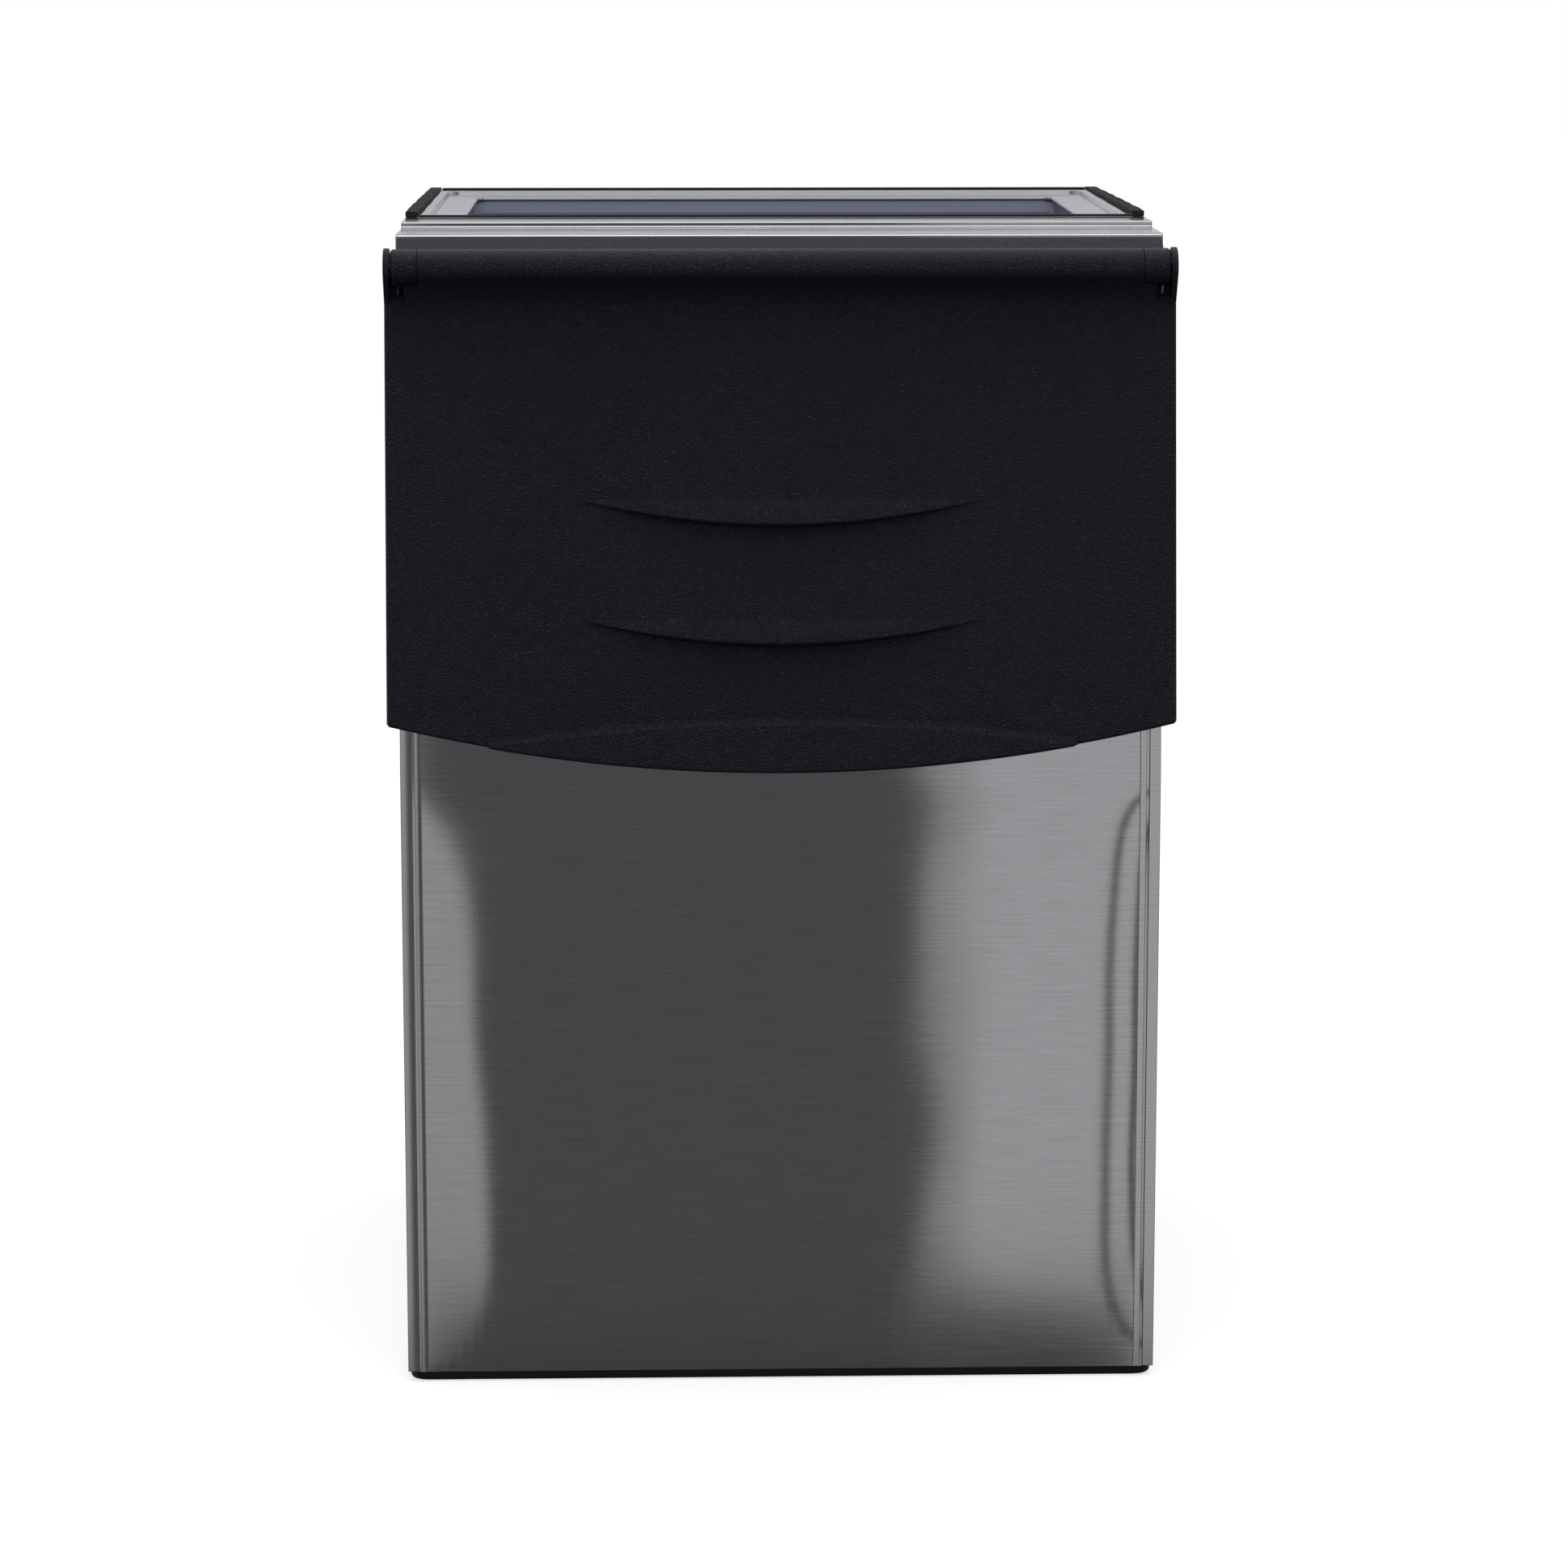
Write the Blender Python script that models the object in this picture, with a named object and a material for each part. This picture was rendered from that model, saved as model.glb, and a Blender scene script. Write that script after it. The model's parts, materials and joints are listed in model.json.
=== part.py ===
"""Storage bin of a modular ice machine: a foamed stainless cabinet with an open top, on which the
ice-making head stands, and a top-hung plastic door over a sloping front throat.

Metres. +X is to the right seen from the front, -Y is the front, +Z is up. The origin is the middle
of the whole object's box, at floor level.
"""

import math

import bmesh
import bpy

# Cabinet
CABINET_WIDTH = 0.762
FRONT_Y = -0.347  # lower front face
TOP_FRONT_Y = -0.300  # front face at the top of the slope
BACK_Y = 0.399
KNEE_Z = 0.625  # where the front starts to slope back
STRIP_Z = 1.165  # top of the strip in front of the head
RIM_Z = 1.171  # top face that the head stands on
SKIRT_Z = 1.150  # lower edge of the front strip
STEP_Y = -0.197  # step from the strip up to the rim
MOUTH_FRONT_Y = -0.129  # front edge of the open top
BASE_HEIGHT = 0.010
SHEET = 0.0015
RETURN_FLANGE = 0.0115  # fold along every edge of a side panel
WALL = 0.048  # foam and skins of a wall
GAP = 0.0003  # between pieces that touch

# Liner and throat
LINER_WALL = 0.003
CAVITY_HALF_WIDTH = 0.330
CAVITY_BACK_Y = 0.351
FLOOR_FRONT_Z = 0.072
FLOOR_BACK_Z = 0.062
FOAM_BLOCK_HALF_WIDTH = 0.060  # block of foam round the drain
FOAM_BLOCK_FRONT_Y = 0.348
FOAM_BLOCK_TOP_Z = 0.110
SUMP_Z = 0.046
CEILING_Z = 1.106
LINER_TOP_Z = 1.1475
CAVITY_MOUTH_FRONT_Y = -0.110
CAVITY_EDGE_RADIUS = 0.018
THROAT_HALF_WIDTH = 0.318
THROAT_LOW_Z = 0.735
THROAT_HIGH_Z = 1.085
THROAT_FRAME = 0.0025
THROAT_FRAME_LIP = 0.026

# Door, measured closed
DOOR_HALF_WIDTH = 0.391
SHOULDER_Z = 1.107  # top edge of the door's face
DOOR_CORNER_Z = 0.686
DOOR_LOW_Z = 0.640  # lowest point of the curved bottom edge
FACE_TOP_Y = -0.336
FACE_LOW_Y = -0.398
DOOR_STAND_OFF = 0.007  # door's rim to the cabinet's front
DOOR_SKIN = 0.003
BARREL_RADIUS = 0.0185
AXIS_Y = -0.334
AXIS_Z = 1.134
BARREL_HALF_WIDTH = 0.3576
COVE_HALF_WIDTH = 0.371  # the cove runs on a little under the knuckles
KNUCKLE_INNER_X = 0.358
KNUCKLE_OUTER_X = 0.384
EAR_INNER_X = 0.385
EAR_RADIUS = 0.0195
PIN_RADIUS = 0.0045
COVE_RADIUS = 0.045  # hollow curve from the face up into the barrel
PULL_RAISE = 0.009  # how far the hand pull stands out of the face
PULL_HALF_WIDTH = 0.293
PULL_TOP_Z = 0.694
PULL_END_Z = 0.673
SMILE_HALF_WIDTH = 0.199  # the two raised crescents
SMILE_DROP = 0.028
SMILE_RAISE = 0.0065
SMILE_CHORDS_Z = (0.790, 0.907)

# Hardware
HEAD_GASKET_WIDTH = 0.014
HEAD_GASKET_HEIGHT = 0.006
REAR_GASKET_HEIGHT = 0.0022  # the rear tape is a thinner one
LEG_X = 0.330
LEG_YS = (-0.298, 0.350)
LEG_SOCKET_RADIUS = 0.012
DRAIN_Z = 0.068
DRAIN_RADIUS = 0.0135
DRAIN_PLATE_HALF_WIDTH = 0.090  # plate let into the back panel round the drain
DRAIN_PLATE_TOP_Z = 0.140
BAFFLE_PIVOT_Y = -0.230
BAFFLE_PIVOT_Z = 1.080
BAFFLE_PIN_RADIUS = 0.004
BAFFLE_HALF_WIDTH = 0.322
BAFFLE_SHEET = 0.003

HALF_WIDTH = CABINET_WIDTH / 2
CLEARANCE = 0.0015  # hinge rail to the turning barrel
KNUCKLE_ROOM = 0.0008  # cove to the fixed knuckle
PIN_BORE_END = 0.3315  # blind end of each pin's bore in the barrel
HINGE_LOW_Z = 1.1135
HINGE_TOP_Z = 1.1615

COLOURS = {  # base colour, roughness, metallic
    "stainless": ((0.42, 0.42, 0.43), 0.28, 1.0),
    "galvanised": ((0.46, 0.47, 0.48), 0.45, 1.0),
    "steel": ((0.55, 0.55, 0.56), 0.30, 1.0),
    "black_plastic": ((0.012, 0.013, 0.017), 0.55, 0.0),
    "base_plastic": ((0.010, 0.010, 0.011), 0.60, 0.0),
    "liner_plastic": ((0.16, 0.18, 0.26), 0.35, 0.0),
    "grey_plastic": ((0.30, 0.31, 0.34), 0.40, 0.0),
    "foam_rubber": ((0.03, 0.03, 0.03), 0.90, 0.0),
    "vinyl": ((0.02, 0.02, 0.02), 0.50, 0.0),
    "foam": ((0.75, 0.66, 0.42), 0.90, 0.0),
    "white_plastic": ((0.75, 0.76, 0.77), 0.40, 0.0),
}


# ---------------------------------------------------------------- small tools


def material(finish):
    """The shared material of that finish."""
    found = bpy.data.materials.get(finish)
    if found:
        return found
    colour, roughness, metallic = COLOURS[finish]
    made = bpy.data.materials.new(finish)
    made.use_nodes = True
    shader = made.node_tree.nodes["Principled BSDF"]
    shader.inputs["Base Color"].default_value = (*colour, 1.0)
    shader.inputs["Roughness"].default_value = roughness
    shader.inputs["Metallic"].default_value = metallic
    made.diffuse_color = (*colour, 1.0)
    return made


def add(name, shape, finish=None, smooth=False):
    """Turns a bmesh into an object. With no finish it is a cutter, which isn't part of the object."""
    bmesh.ops.recalc_face_normals(shape, faces=shape.faces[:])
    mesh = bpy.data.meshes.new(name)
    shape.to_mesh(mesh)
    shape.free()
    obj = bpy.data.objects.new(name, mesh)
    bpy.context.scene.collection.objects.link(obj)
    if smooth:
        mesh.shade_smooth()
        mesh.set_sharp_from_angle(angle=math.radians(30))
    if finish:
        mesh.materials.append(material(finish))
    else:
        obj.hide_render = True
        obj.display_type = "WIRE"
    return obj


def combine(obj, operation, *others):
    """Adds a live Boolean for each of the others."""
    for other in others:
        other.hide_render = True
        other.display_type = "WIRE"
        other.parent = obj
        other.matrix_parent_inverse = obj.matrix_world.inverted()
        modifier = obj.modifiers.new(operation.title(), "BOOLEAN")
        modifier.operation = operation
        modifier.object = other
    return obj


def cut(obj, *cutters):
    return combine(obj, "DIFFERENCE", *cutters)


def join(obj, *others):
    return combine(obj, "UNION", *others)


def point_on(axis, along, a, b):
    """A point from its place along an axis and its two other coordinates in X, Y, Z order."""
    return {"X": (along, a, b), "Y": (a, along, b), "Z": (a, b, along)}[axis]


def prism(outline, low, high, axis="X"):
    """An outline of (a, b) points drawn out along an axis."""
    shape = bmesh.new()
    ends = []
    for along in (low, high):
        ends.append([shape.verts.new(point_on(axis, along, a, b)) for a, b in outline])
    shape.faces.new(ends[0])
    shape.faces.new(ends[1])
    for i in range(len(outline)):
        j = (i + 1) % len(outline)
        shape.faces.new((ends[0][i], ends[0][j], ends[1][j], ends[1][i]))
    return shape


def block(x, y, z):
    """A box from three (low, high) pairs."""
    outline = [(y[0], z[0]), (y[1], z[0]), (y[1], z[1]), (y[0], z[1])]
    return prism(outline, x[0], x[1])


def loft(rings, closed=False):
    """A skin through rings of equal length. Closed joins the last ring to the first; else it is capped."""
    shape = bmesh.new()
    made = [[shape.verts.new(p) for p in ring] for ring in rings]
    pairs = list(zip(made, made[1:]))
    if closed:
        pairs.append((made[-1], made[0]))
    else:
        shape.faces.new(made[0])
        shape.faces.new(made[-1])
    count = len(rings[0])
    for first, second in pairs:
        for i in range(count):
            j = (i + 1) % count
            shape.faces.new((first[i], first[j], second[j], second[i]))
    return shape


def turned(profile, centre, axis="Z", steps=24):
    """A closed (radius, along) profile, clear of the axis or meeting it at both ends, turned about it."""
    shape = bmesh.new()
    rings = []
    for radius, along in profile:
        ring = []
        for i in range(steps if radius > 0 else 1):
            angle = 2 * math.pi * i / steps
            spot = point_on(axis, along, radius * math.cos(angle), radius * math.sin(angle))
            ring.append(shape.verts.new([c + s for c, s in zip(centre, spot)]))
        rings.append(ring)
    pairs = list(zip(rings, rings[1:]))
    if profile[0][0] > 0:
        pairs.append((rings[-1], rings[0]))
    for first, second in pairs:
        for i in range(steps):
            j = (i + 1) % steps
            corners = [first[i % len(first)], first[j % len(first)]]
            corners += [second[j % len(second)], second[i % len(second)]]
            shape.faces.new(list(dict.fromkeys(corners)))
    return shape


def rod(radius, low, high, centre, axis="Z", steps=24):
    """A plain round bar between two places along an axis through centre."""
    return turned([(0, low), (radius, low), (radius, high), (0, high)], centre, axis, steps)


def inset(outline, distance):
    """The outline moved inwards by distance, or outwards where that is negative."""
    area = sum(a[0] * b[1] - b[0] * a[1] for a, b in zip(outline, outline[1:] + outline[:1]))
    side = distance if area > 0 else -distance
    moved = []
    count = len(outline)
    for i, here in enumerate(outline):
        before = outline[i - 1]
        after = outline[(i + 1) % count]
        normals = []
        for p, q in ((before, here), (here, after)):
            length = math.hypot(q[0] - p[0], q[1] - p[1])
            normals.append((-(q[1] - p[1]) / length, (q[0] - p[0]) / length))
        (ax, ay), (bx, by) = normals
        scale = side / (1 + ax * bx + ay * by)
        moved.append((here[0] + (ax + bx) * scale, here[1] + (ay + by) * scale))
    return moved


def arc(centre, radius, start, end, steps):
    """Points of an arc, angles in degrees, both ends included."""
    angles = [math.radians(start + (end - start) * i / steps) for i in range(steps + 1)]
    return [(centre[0] + radius * math.cos(t), centre[1] + radius * math.sin(t)) for t in angles]


def filleted(outline, radii, steps=4):
    """The outline with each corner rounded to its radius, where that isn't 0."""
    rounded = []
    count = len(outline)
    for i, here in enumerate(outline):
        if radii[i] <= 0:
            rounded.append(here)
            continue
        arms = []
        for other in (outline[i - 1], outline[(i + 1) % count]):
            length = math.hypot(other[0] - here[0], other[1] - here[1])
            arms.append(((other[0] - here[0]) / length, (other[1] - here[1]) / length))
        (ax, ay), (bx, by) = arms
        half_angle = math.acos(ax * bx + ay * by) / 2
        reach = radii[i] / math.sin(half_angle)
        middle = (ax + bx, ay + by)
        scale = reach / math.hypot(*middle)
        centre = (here[0] + middle[0] * scale, here[1] + middle[1] * scale)
        tangent = radii[i] / math.tan(half_angle)
        first = (here[0] + ax * tangent, here[1] + ay * tangent)
        last = (here[0] + bx * tangent, here[1] + by * tangent)
        start = math.degrees(math.atan2(first[1] - centre[1], first[0] - centre[0]))
        end = math.degrees(math.atan2(last[1] - centre[1], last[0] - centre[0]))
        turn = (end - start + 180) % 360 - 180
        rounded += arc(centre, radii[i], start, start + turn, steps)
    return rounded


def rounded_box(a, b, radius, steps=4):
    """Outline of a rectangle with round corners, from two (low, high) pairs."""
    corners = ((a[1], b[1], 0), (a[0], b[1], 90), (a[0], b[0], 180), (a[1], b[0], 270))
    outline = []
    for x, y, start in corners:
        centre = (x - math.copysign(radius, x - sum(a) / 2), y - math.copysign(radius, y - sum(b) / 2))
        outline += arc(centre, radius, start, start + 90, steps)
    return outline


# ---------------------------------------------------------------- lines that pieces share


def front_y(z):
    """The cabinet's front face at that height."""
    slope = (TOP_FRONT_Y - FRONT_Y) / (STRIP_Z - KNEE_Z)
    return FRONT_Y + max(0.0, z - KNEE_Z) * slope


def face_y(z):
    """The door's outer face at that height."""
    slope = (FACE_TOP_Y - FACE_LOW_Y) / (SHOULDER_Z - DOOR_LOW_Z)
    return FACE_TOP_Y - (SHOULDER_Z - z) * slope


def rim_y(z):
    """The door's inner rim at that height, parallel to the sloping front."""
    slope = (TOP_FRONT_Y - FRONT_Y) / (STRIP_Z - KNEE_Z)
    return FRONT_Y + (z - KNEE_Z) * slope - DOOR_STAND_OFF


def door_bottom_z(x):
    """The curved bottom edge of the door, an arc through its corners and its lowest point."""
    drop = DOOR_CORNER_Z - DOOR_LOW_Z
    radius = (DOOR_HALF_WIDTH**2 + drop**2) / (2 * drop)
    return DOOR_LOW_Z + radius - math.sqrt(radius**2 - x**2)


def leaning(outline, near, far):
    """A solid on an (x, z) outline between two leaning faces, each a function that gives y at z."""
    return loft([[(x, near(z), z) for x, z in outline], [(x, far(z), z) for x, z in outline]])


def door_outline(margin=0.0):
    """Front outline of the door, clockwise from the top left, with round shoulders."""
    half = DOOR_HALF_WIDTH
    radius = 0.010
    steps = 4
    top = SHOULDER_Z - radius
    outline = arc((half - radius, top), radius, 90, 0, steps)
    count = 24
    xs = [half - 2 * half * i / count for i in range(count + 1)]
    outline += [(x, door_bottom_z(x)) for x in xs]
    outline += arc((radius - half, top), radius, 180, 90, steps)
    return inset(outline, margin) if margin else outline


def throat_outline(grow=0.0):
    return rounded_box(
        (-THROAT_HALF_WIDTH - grow, THROAT_HALF_WIDTH + grow),
        (THROAT_LOW_Z - grow, THROAT_HIGH_Z + grow),
        0.020 + grow,
    )


def throat_passage(grow, name):
    """A cutter or a body as wide as the throat, through the front wall."""
    outline = throat_outline(grow)
    return add(name, leaning(outline, lambda z: front_y(z) - 0.02, lambda z: front_y(z) + WALL + 0.03))


# ---------------------------------------------------------------- cabinet


def base_tray():
    """Moulded skid under the cabinet, with a hole for each leg socket."""
    across = (0.002 - HALF_WIDTH, HALF_WIDTH - 0.002)
    deep = (FRONT_Y + 0.002, BACK_Y - 0.002)
    rings = []
    for z, margin in ((0.0, 0.004), (0.0012, 0.0014), (0.004, 0.0), (BASE_HEIGHT, 0.0)):
        x_ends = (across[0] + margin, across[1] - margin)
        y_ends = (deep[0] + margin, deep[1] - margin)
        rings.append([(x, y, z) for x, y in rounded_box(x_ends, y_ends, 0.014)])
    tray = add("base_tray", loft(rings), "base_plastic")
    for x in (-LEG_X, LEG_X):
        for y in LEG_YS:
            cut(tray, add("leg_hole_cutter", rod(LEG_SOCKET_RADIUS + GAP, -0.002, 0.012, (x, y, 0))))


def leg_sockets():
    """Threaded bushes in the tray, for legs or castors."""
    places = {"front_left": (-1, 0), "front_right": (1, 0), "back_left": (-1, 1), "back_right": (1, 1)}
    for corner, (side, row) in places.items():
        outer = LEG_SOCKET_RADIUS
        thread = 0.006
        profile = [(0, 0.0085), (thread, 0.0085), (thread, 0.0010)]
        profile += [(outer, 0.0010), (outer, 0.0097), (0, 0.0097)]
        centre = (side * LEG_X, LEG_YS[row], 0)
        add(f"leg_socket_{corner}", turned(profile[::-1], centre), "steel", smooth=True)


def side_outline():
    low = BASE_HEIGHT + GAP
    skirt = SKIRT_Z - GAP
    rim_front = MOUTH_FRONT_Y + GAP
    return [
        (FRONT_Y, low),
        (FRONT_Y, KNEE_Z),
        (front_y(skirt), skirt),
        (rim_front, skirt),
        (rim_front, RIM_Z),
        (BACK_Y, RIM_Z),
        (BACK_Y, low),
    ]


def side_panels():
    """Stainless pans: a flat web outside with a fold all round."""
    for side, name in ((-1, "side_panel_left"), (1, "side_panel_right")):
        outside = side * HALF_WIDTH
        fold = side * (HALF_WIDTH - RETURN_FLANGE)
        panel = add(name, prism(side_outline(), outside, fold), "stainless")
        hollow = prism(inset(side_outline(), SHEET), outside - side * SHEET, fold - side * 0.01)
        cut(panel, add(name + "_hollow", hollow))


def screw_holes(name, radius, depth):
    """One cutter for each hinge screw, driven square to the cabinet's front."""
    return [
        add(name, rod(radius, -0.010, depth, (x, front_y(z), z), "Y", 16))
        for x, z in hinge_screw_places().values()
    ]


def hinge_screw_places():
    return {
        f"{side}_{row}": (sign * 0.3535, z)
        for side, sign in (("left", -1), ("right", 1))
        for row, z in (("upper", 1.104), ("lower", 1.080))
    }


def front_panel():
    """Stainless front, folded back at the knee, with the throat cut out of its sloping part."""
    low = BASE_HEIGHT + GAP
    high = SKIRT_Z - GAP
    outer = [(FRONT_Y, low), (FRONT_Y, KNEE_Z), (front_y(high), high)]
    outline = outer + [(y + SHEET, z) for y, z in outer[::-1]]
    half = HALF_WIDTH - RETURN_FLANGE - GAP
    panel = add("front_panel", prism(outline, -half, half), "stainless")
    cut(panel, throat_passage(LINER_WALL + GAP, "front_panel_throat_cutter"))
    cut(panel, *screw_holes("front_panel_screw_hole", 0.0023, 0.010))


def seam_strips():
    """Folded cover strips over the joints between the front panel and the side panels."""
    proud = 0.0016
    low = BASE_HEIGHT + GAP
    high = SKIRT_Z - GAP
    line = [(FRONT_Y, low), (FRONT_Y, KNEE_Z), (front_y(high), high)]
    outline = [(y - GAP, z) for y, z in line] + [(y - GAP - proud, z) for y, z in line[::-1]]
    for side, name in ((-1, "seam_strip_left"), (1, "seam_strip_right")):
        add(name, prism(outline, side * 0.3600, side * 0.3667), "stainless")


def back_panel():
    """Galvanised back with a top fold that carries the rear gasket."""
    low = BASE_HEIGHT + GAP
    fold_y = BACK_Y - HEAD_GASKET_WIDTH
    outline = [(BACK_Y, low), (BACK_Y, RIM_Z), (fold_y, RIM_Z), (fold_y, RIM_Z - SHEET)]
    outline += [(BACK_Y - SHEET, RIM_Z - SHEET), (BACK_Y - SHEET, low)]
    half = HALF_WIDTH - RETURN_FLANGE - GAP
    panel = add("back_panel", prism(outline, -half, half), "galvanised")
    through = (BACK_Y - 0.01, BACK_Y + 0.01)
    notch_half = DRAIN_PLATE_HALF_WIDTH + GAP
    notch = block((-notch_half, notch_half), through, (0.0, DRAIN_PLATE_TOP_Z + GAP))
    cut(panel, add("drain_plate_notch", notch))
    across = (-DRAIN_PLATE_HALF_WIDTH, DRAIN_PLATE_HALF_WIDTH)
    plate = block(across, (BACK_Y - SHEET, BACK_Y), (low, DRAIN_PLATE_TOP_Z))
    drain = rod(DRAIN_RADIUS + GAP, *through, (0, 0, DRAIN_Z), "Y")
    cut(add("drain_plate", plate, "galvanised"), add("plate_drain_hole", drain))
    for x, z in back_screw_places().values():
        hole = rod(0.0019, *through, (x, 0, z), "Y", 12)
        cut(panel, add("back_panel_screw_hole", hole))


def back_screw_places():
    heights = {"low": 0.070, "middle": 0.600, "high": 1.120}
    sides = {"left": -1, "right": 1}
    return {
        f"{side}_{row}": (sign * 0.355, z) for side, sign in sides.items() for row, z in heights.items()
    }


def back_screws():
    for place, (x, z) in back_screw_places().items():
        profile = [(0, BACK_Y + 0.0024), (0.0028, BACK_Y + 0.0020), (0.0040, BACK_Y + GAP)]
        profile += [(0.0016, BACK_Y + GAP), (0.0016, BACK_Y - SHEET), (0, BACK_Y - SHEET)]
        add(f"back_screw_{place}", turned(profile, (x, 0, z), "Y", 16), "steel", smooth=True)


def strip_outline():
    """Side view of the front strip: lip, strip, step and rim, with rolled edges."""
    lip = 0.004
    bend = 0.003
    outline = [(TOP_FRONT_Y, SKIRT_Z)]
    outline += arc((TOP_FRONT_Y + lip, STRIP_Z - lip), lip, 180, 90, 4)
    outline += arc((STEP_Y - bend, STRIP_Z + bend), bend, 270, 360, 3)
    outline += arc((STEP_Y + bend, RIM_Z - bend), bend, 180, 90, 3)
    outline += [(MOUTH_FRONT_Y, RIM_Z), (MOUTH_FRONT_Y, SKIRT_Z)]
    return outline


def top_front_strip():
    """Stainless cross piece in front of the head, a pan open below."""
    strip = add("top_front_strip", prism(strip_outline(), -HALF_WIDTH, HALF_WIDTH), "stainless")
    inside = inset(strip_outline(), SHEET)
    inside[0] = (inside[0][0], SKIRT_Z - 0.01)
    inside[-1] = (inside[-1][0], SKIRT_Z - 0.01)
    half = HALF_WIDTH - SHEET
    cut(strip, add("strip_hollow", prism(inside, -half, half)))


def top_frame():
    """Stainless dished frame round the mouth: outer lip, step, sloping ledge and turned-down edge."""
    half = HALF_WIDTH - RETURN_FLANGE - GAP
    front = MOUTH_FRONT_Y + GAP
    back = BACK_Y - HEAD_GASKET_WIDTH - GAP
    deep = 1.1400
    # half width, front, back, corner radius, height
    upper = [
        (half, front, back, 0.0030, RIM_Z),
        (0.3600, front + 0.005, back - 0.009, 0.020, RIM_Z),
        (0.3575, front + 0.0075, back - 0.0115, 0.018, RIM_Z - 0.0050),
        (0.3265, -0.1065, 0.3475, 0.012, RIM_Z - 0.0100),
        (0.3250, -0.1050, 0.3460, 0.010, RIM_Z - 0.0120),
        (0.3250, -0.1050, 0.3460, 0.010, deep),
    ]
    lower = [
        (0.3265, -0.1065, 0.3475, 0.011, deep),
        (0.3265, -0.1065, 0.3475, 0.011, RIM_Z - 0.0125),
        (0.3585, front + 0.0065, back - 0.0105, 0.018, RIM_Z - 0.0068),
        (0.3615, front + 0.0035, back - 0.0075, 0.020, RIM_Z - SHEET),
        (half, front, back, 0.0030, RIM_Z - SHEET),
    ]
    rings = []
    for half_width, y_low, y_high, radius, z in upper + lower:
        outline = rounded_box((-half_width, half_width), (y_low, y_high), radius, 5)
        rings.append([(x, y, z) for x, y in outline])
    add("top_frame", loft(rings, closed=True), "stainless")


def cavity_outline(grow=0.0):
    """Side view of the store's inside, open at the mouth, grown by a wall where asked."""
    inner_y = front_y(CEILING_Z) + WALL
    top = RIM_Z + 0.05
    corners = [  # y, z, radius
        (FRONT_Y + WALL, FLOOR_FRONT_Z, 0.030 + grow),
        (CAVITY_BACK_Y, FLOOR_BACK_Z, 0.030 + grow),
        (CAVITY_BACK_Y, top, 0.0),
        (CAVITY_MOUTH_FRONT_Y, top, 0.0),
        (CAVITY_MOUTH_FRONT_Y, CEILING_Z, 0.012 - grow),
        (inner_y, CEILING_Z, 0.022 + grow),
        (FRONT_Y + WALL, KNEE_Z, 0.0),
    ]
    outline = [(y, z) for y, z, _ in corners]
    if grow:
        outline = inset(outline, -grow)
    return filleted(outline, [radius for _, _, radius in corners])


def cavity_body(grow, name, finish=None):
    """The store's space as a solid with round edges, for the liner's two skins and the foam's hollow."""
    half = CAVITY_HALF_WIDTH + grow
    radius = CAVITY_EDGE_RADIUS + grow
    outline = cavity_outline(grow)
    ends = []
    for step in range(4):
        angle = math.radians(90 - 30 * step)
        ends.append((half - radius * (1 - math.sin(angle)), radius * (1 - math.cos(angle))))
    stations = [(-x, margin) for x, margin in ends] + ends[::-1]
    rings = []
    for x, margin in stations:
        ring = inset(outline, margin) if margin > 1e-6 else outline
        rings.append([(x, y, z) for y, z in ring])
    return add(name, loft(rings), finish)


def sump(grow, name):
    """Low corner of the store's floor in front of the drain."""
    back = CAVITY_BACK_Y - 0.001
    shape = block((-0.032 - grow, 0.032 + grow), (0.285 - grow, back + grow), (SUMP_Z - grow, 0.100 + grow))
    return add(name, shape)


def above_cutter(z, name):
    return add(name, block((-0.5, 0.5), (-0.5, 0.5), (z, z + 0.2)))


def drain_cutter(radius, name):
    return add(name, rod(radius, CAVITY_BACK_Y - 0.02, BACK_Y + 0.02, (0, 0, DRAIN_Z), "Y"))


def liner():
    """One-piece tub with its throat sleeve, open at the mouth and at the front."""
    tub = cavity_body(LINER_WALL, "liner", "liner_plastic")
    sleeve = leaning(
        throat_outline(LINER_WALL), lambda z: front_y(z) - GAP / 2, lambda z: front_y(z) + WALL + 0.002
    )
    join(tub, add("liner_sleeve", sleeve), sump(LINER_WALL, "liner_sump"))
    cut(tub, cavity_body(0.0, "liner_hollow"), throat_passage(0.0, "liner_throat_cutter"))
    cut(tub, sump(0.0, "liner_sump_hollow"))
    cut(tub, above_cutter(LINER_TOP_Z, "liner_top_cutter"))
    cut(tub, drain_cutter(DRAIN_RADIUS + GAP, "liner_drain_hole"))


def foam_wall(name):
    """Foam poured between the skins: the whole wall, from the shell to the liner."""
    low = BASE_HEIGHT + SHEET + 2 * GAP
    high = SKIRT_Z - SHEET - 2 * GAP
    back = BACK_Y - SHEET - GAP
    front = FRONT_Y + SHEET + GAP
    slope_top = front_y(high) + SHEET + GAP
    outline = [(front, low), (back, low), (back, high), (slope_top, high), (front, KNEE_Z)]
    half = HALF_WIDTH - SHEET - GAP
    foam = add(name, prism(outline, -half, half), "foam")
    skin = LINER_WALL + GAP
    cut(foam, cavity_body(skin, "foam_hollow"), throat_passage(skin, "foam_throat_cutter"))
    cut(foam, sump(skin, "foam_sump_hollow"), drain_cutter(DRAIN_RADIUS + GAP, "foam_drain_hole"))
    return foam


def foam_region(grow, half, y, z, name):
    return add(name, block((-half - grow, half + grow), (y[0], y[1] + grow), (z[0] - grow, z[1] + grow)))


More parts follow.
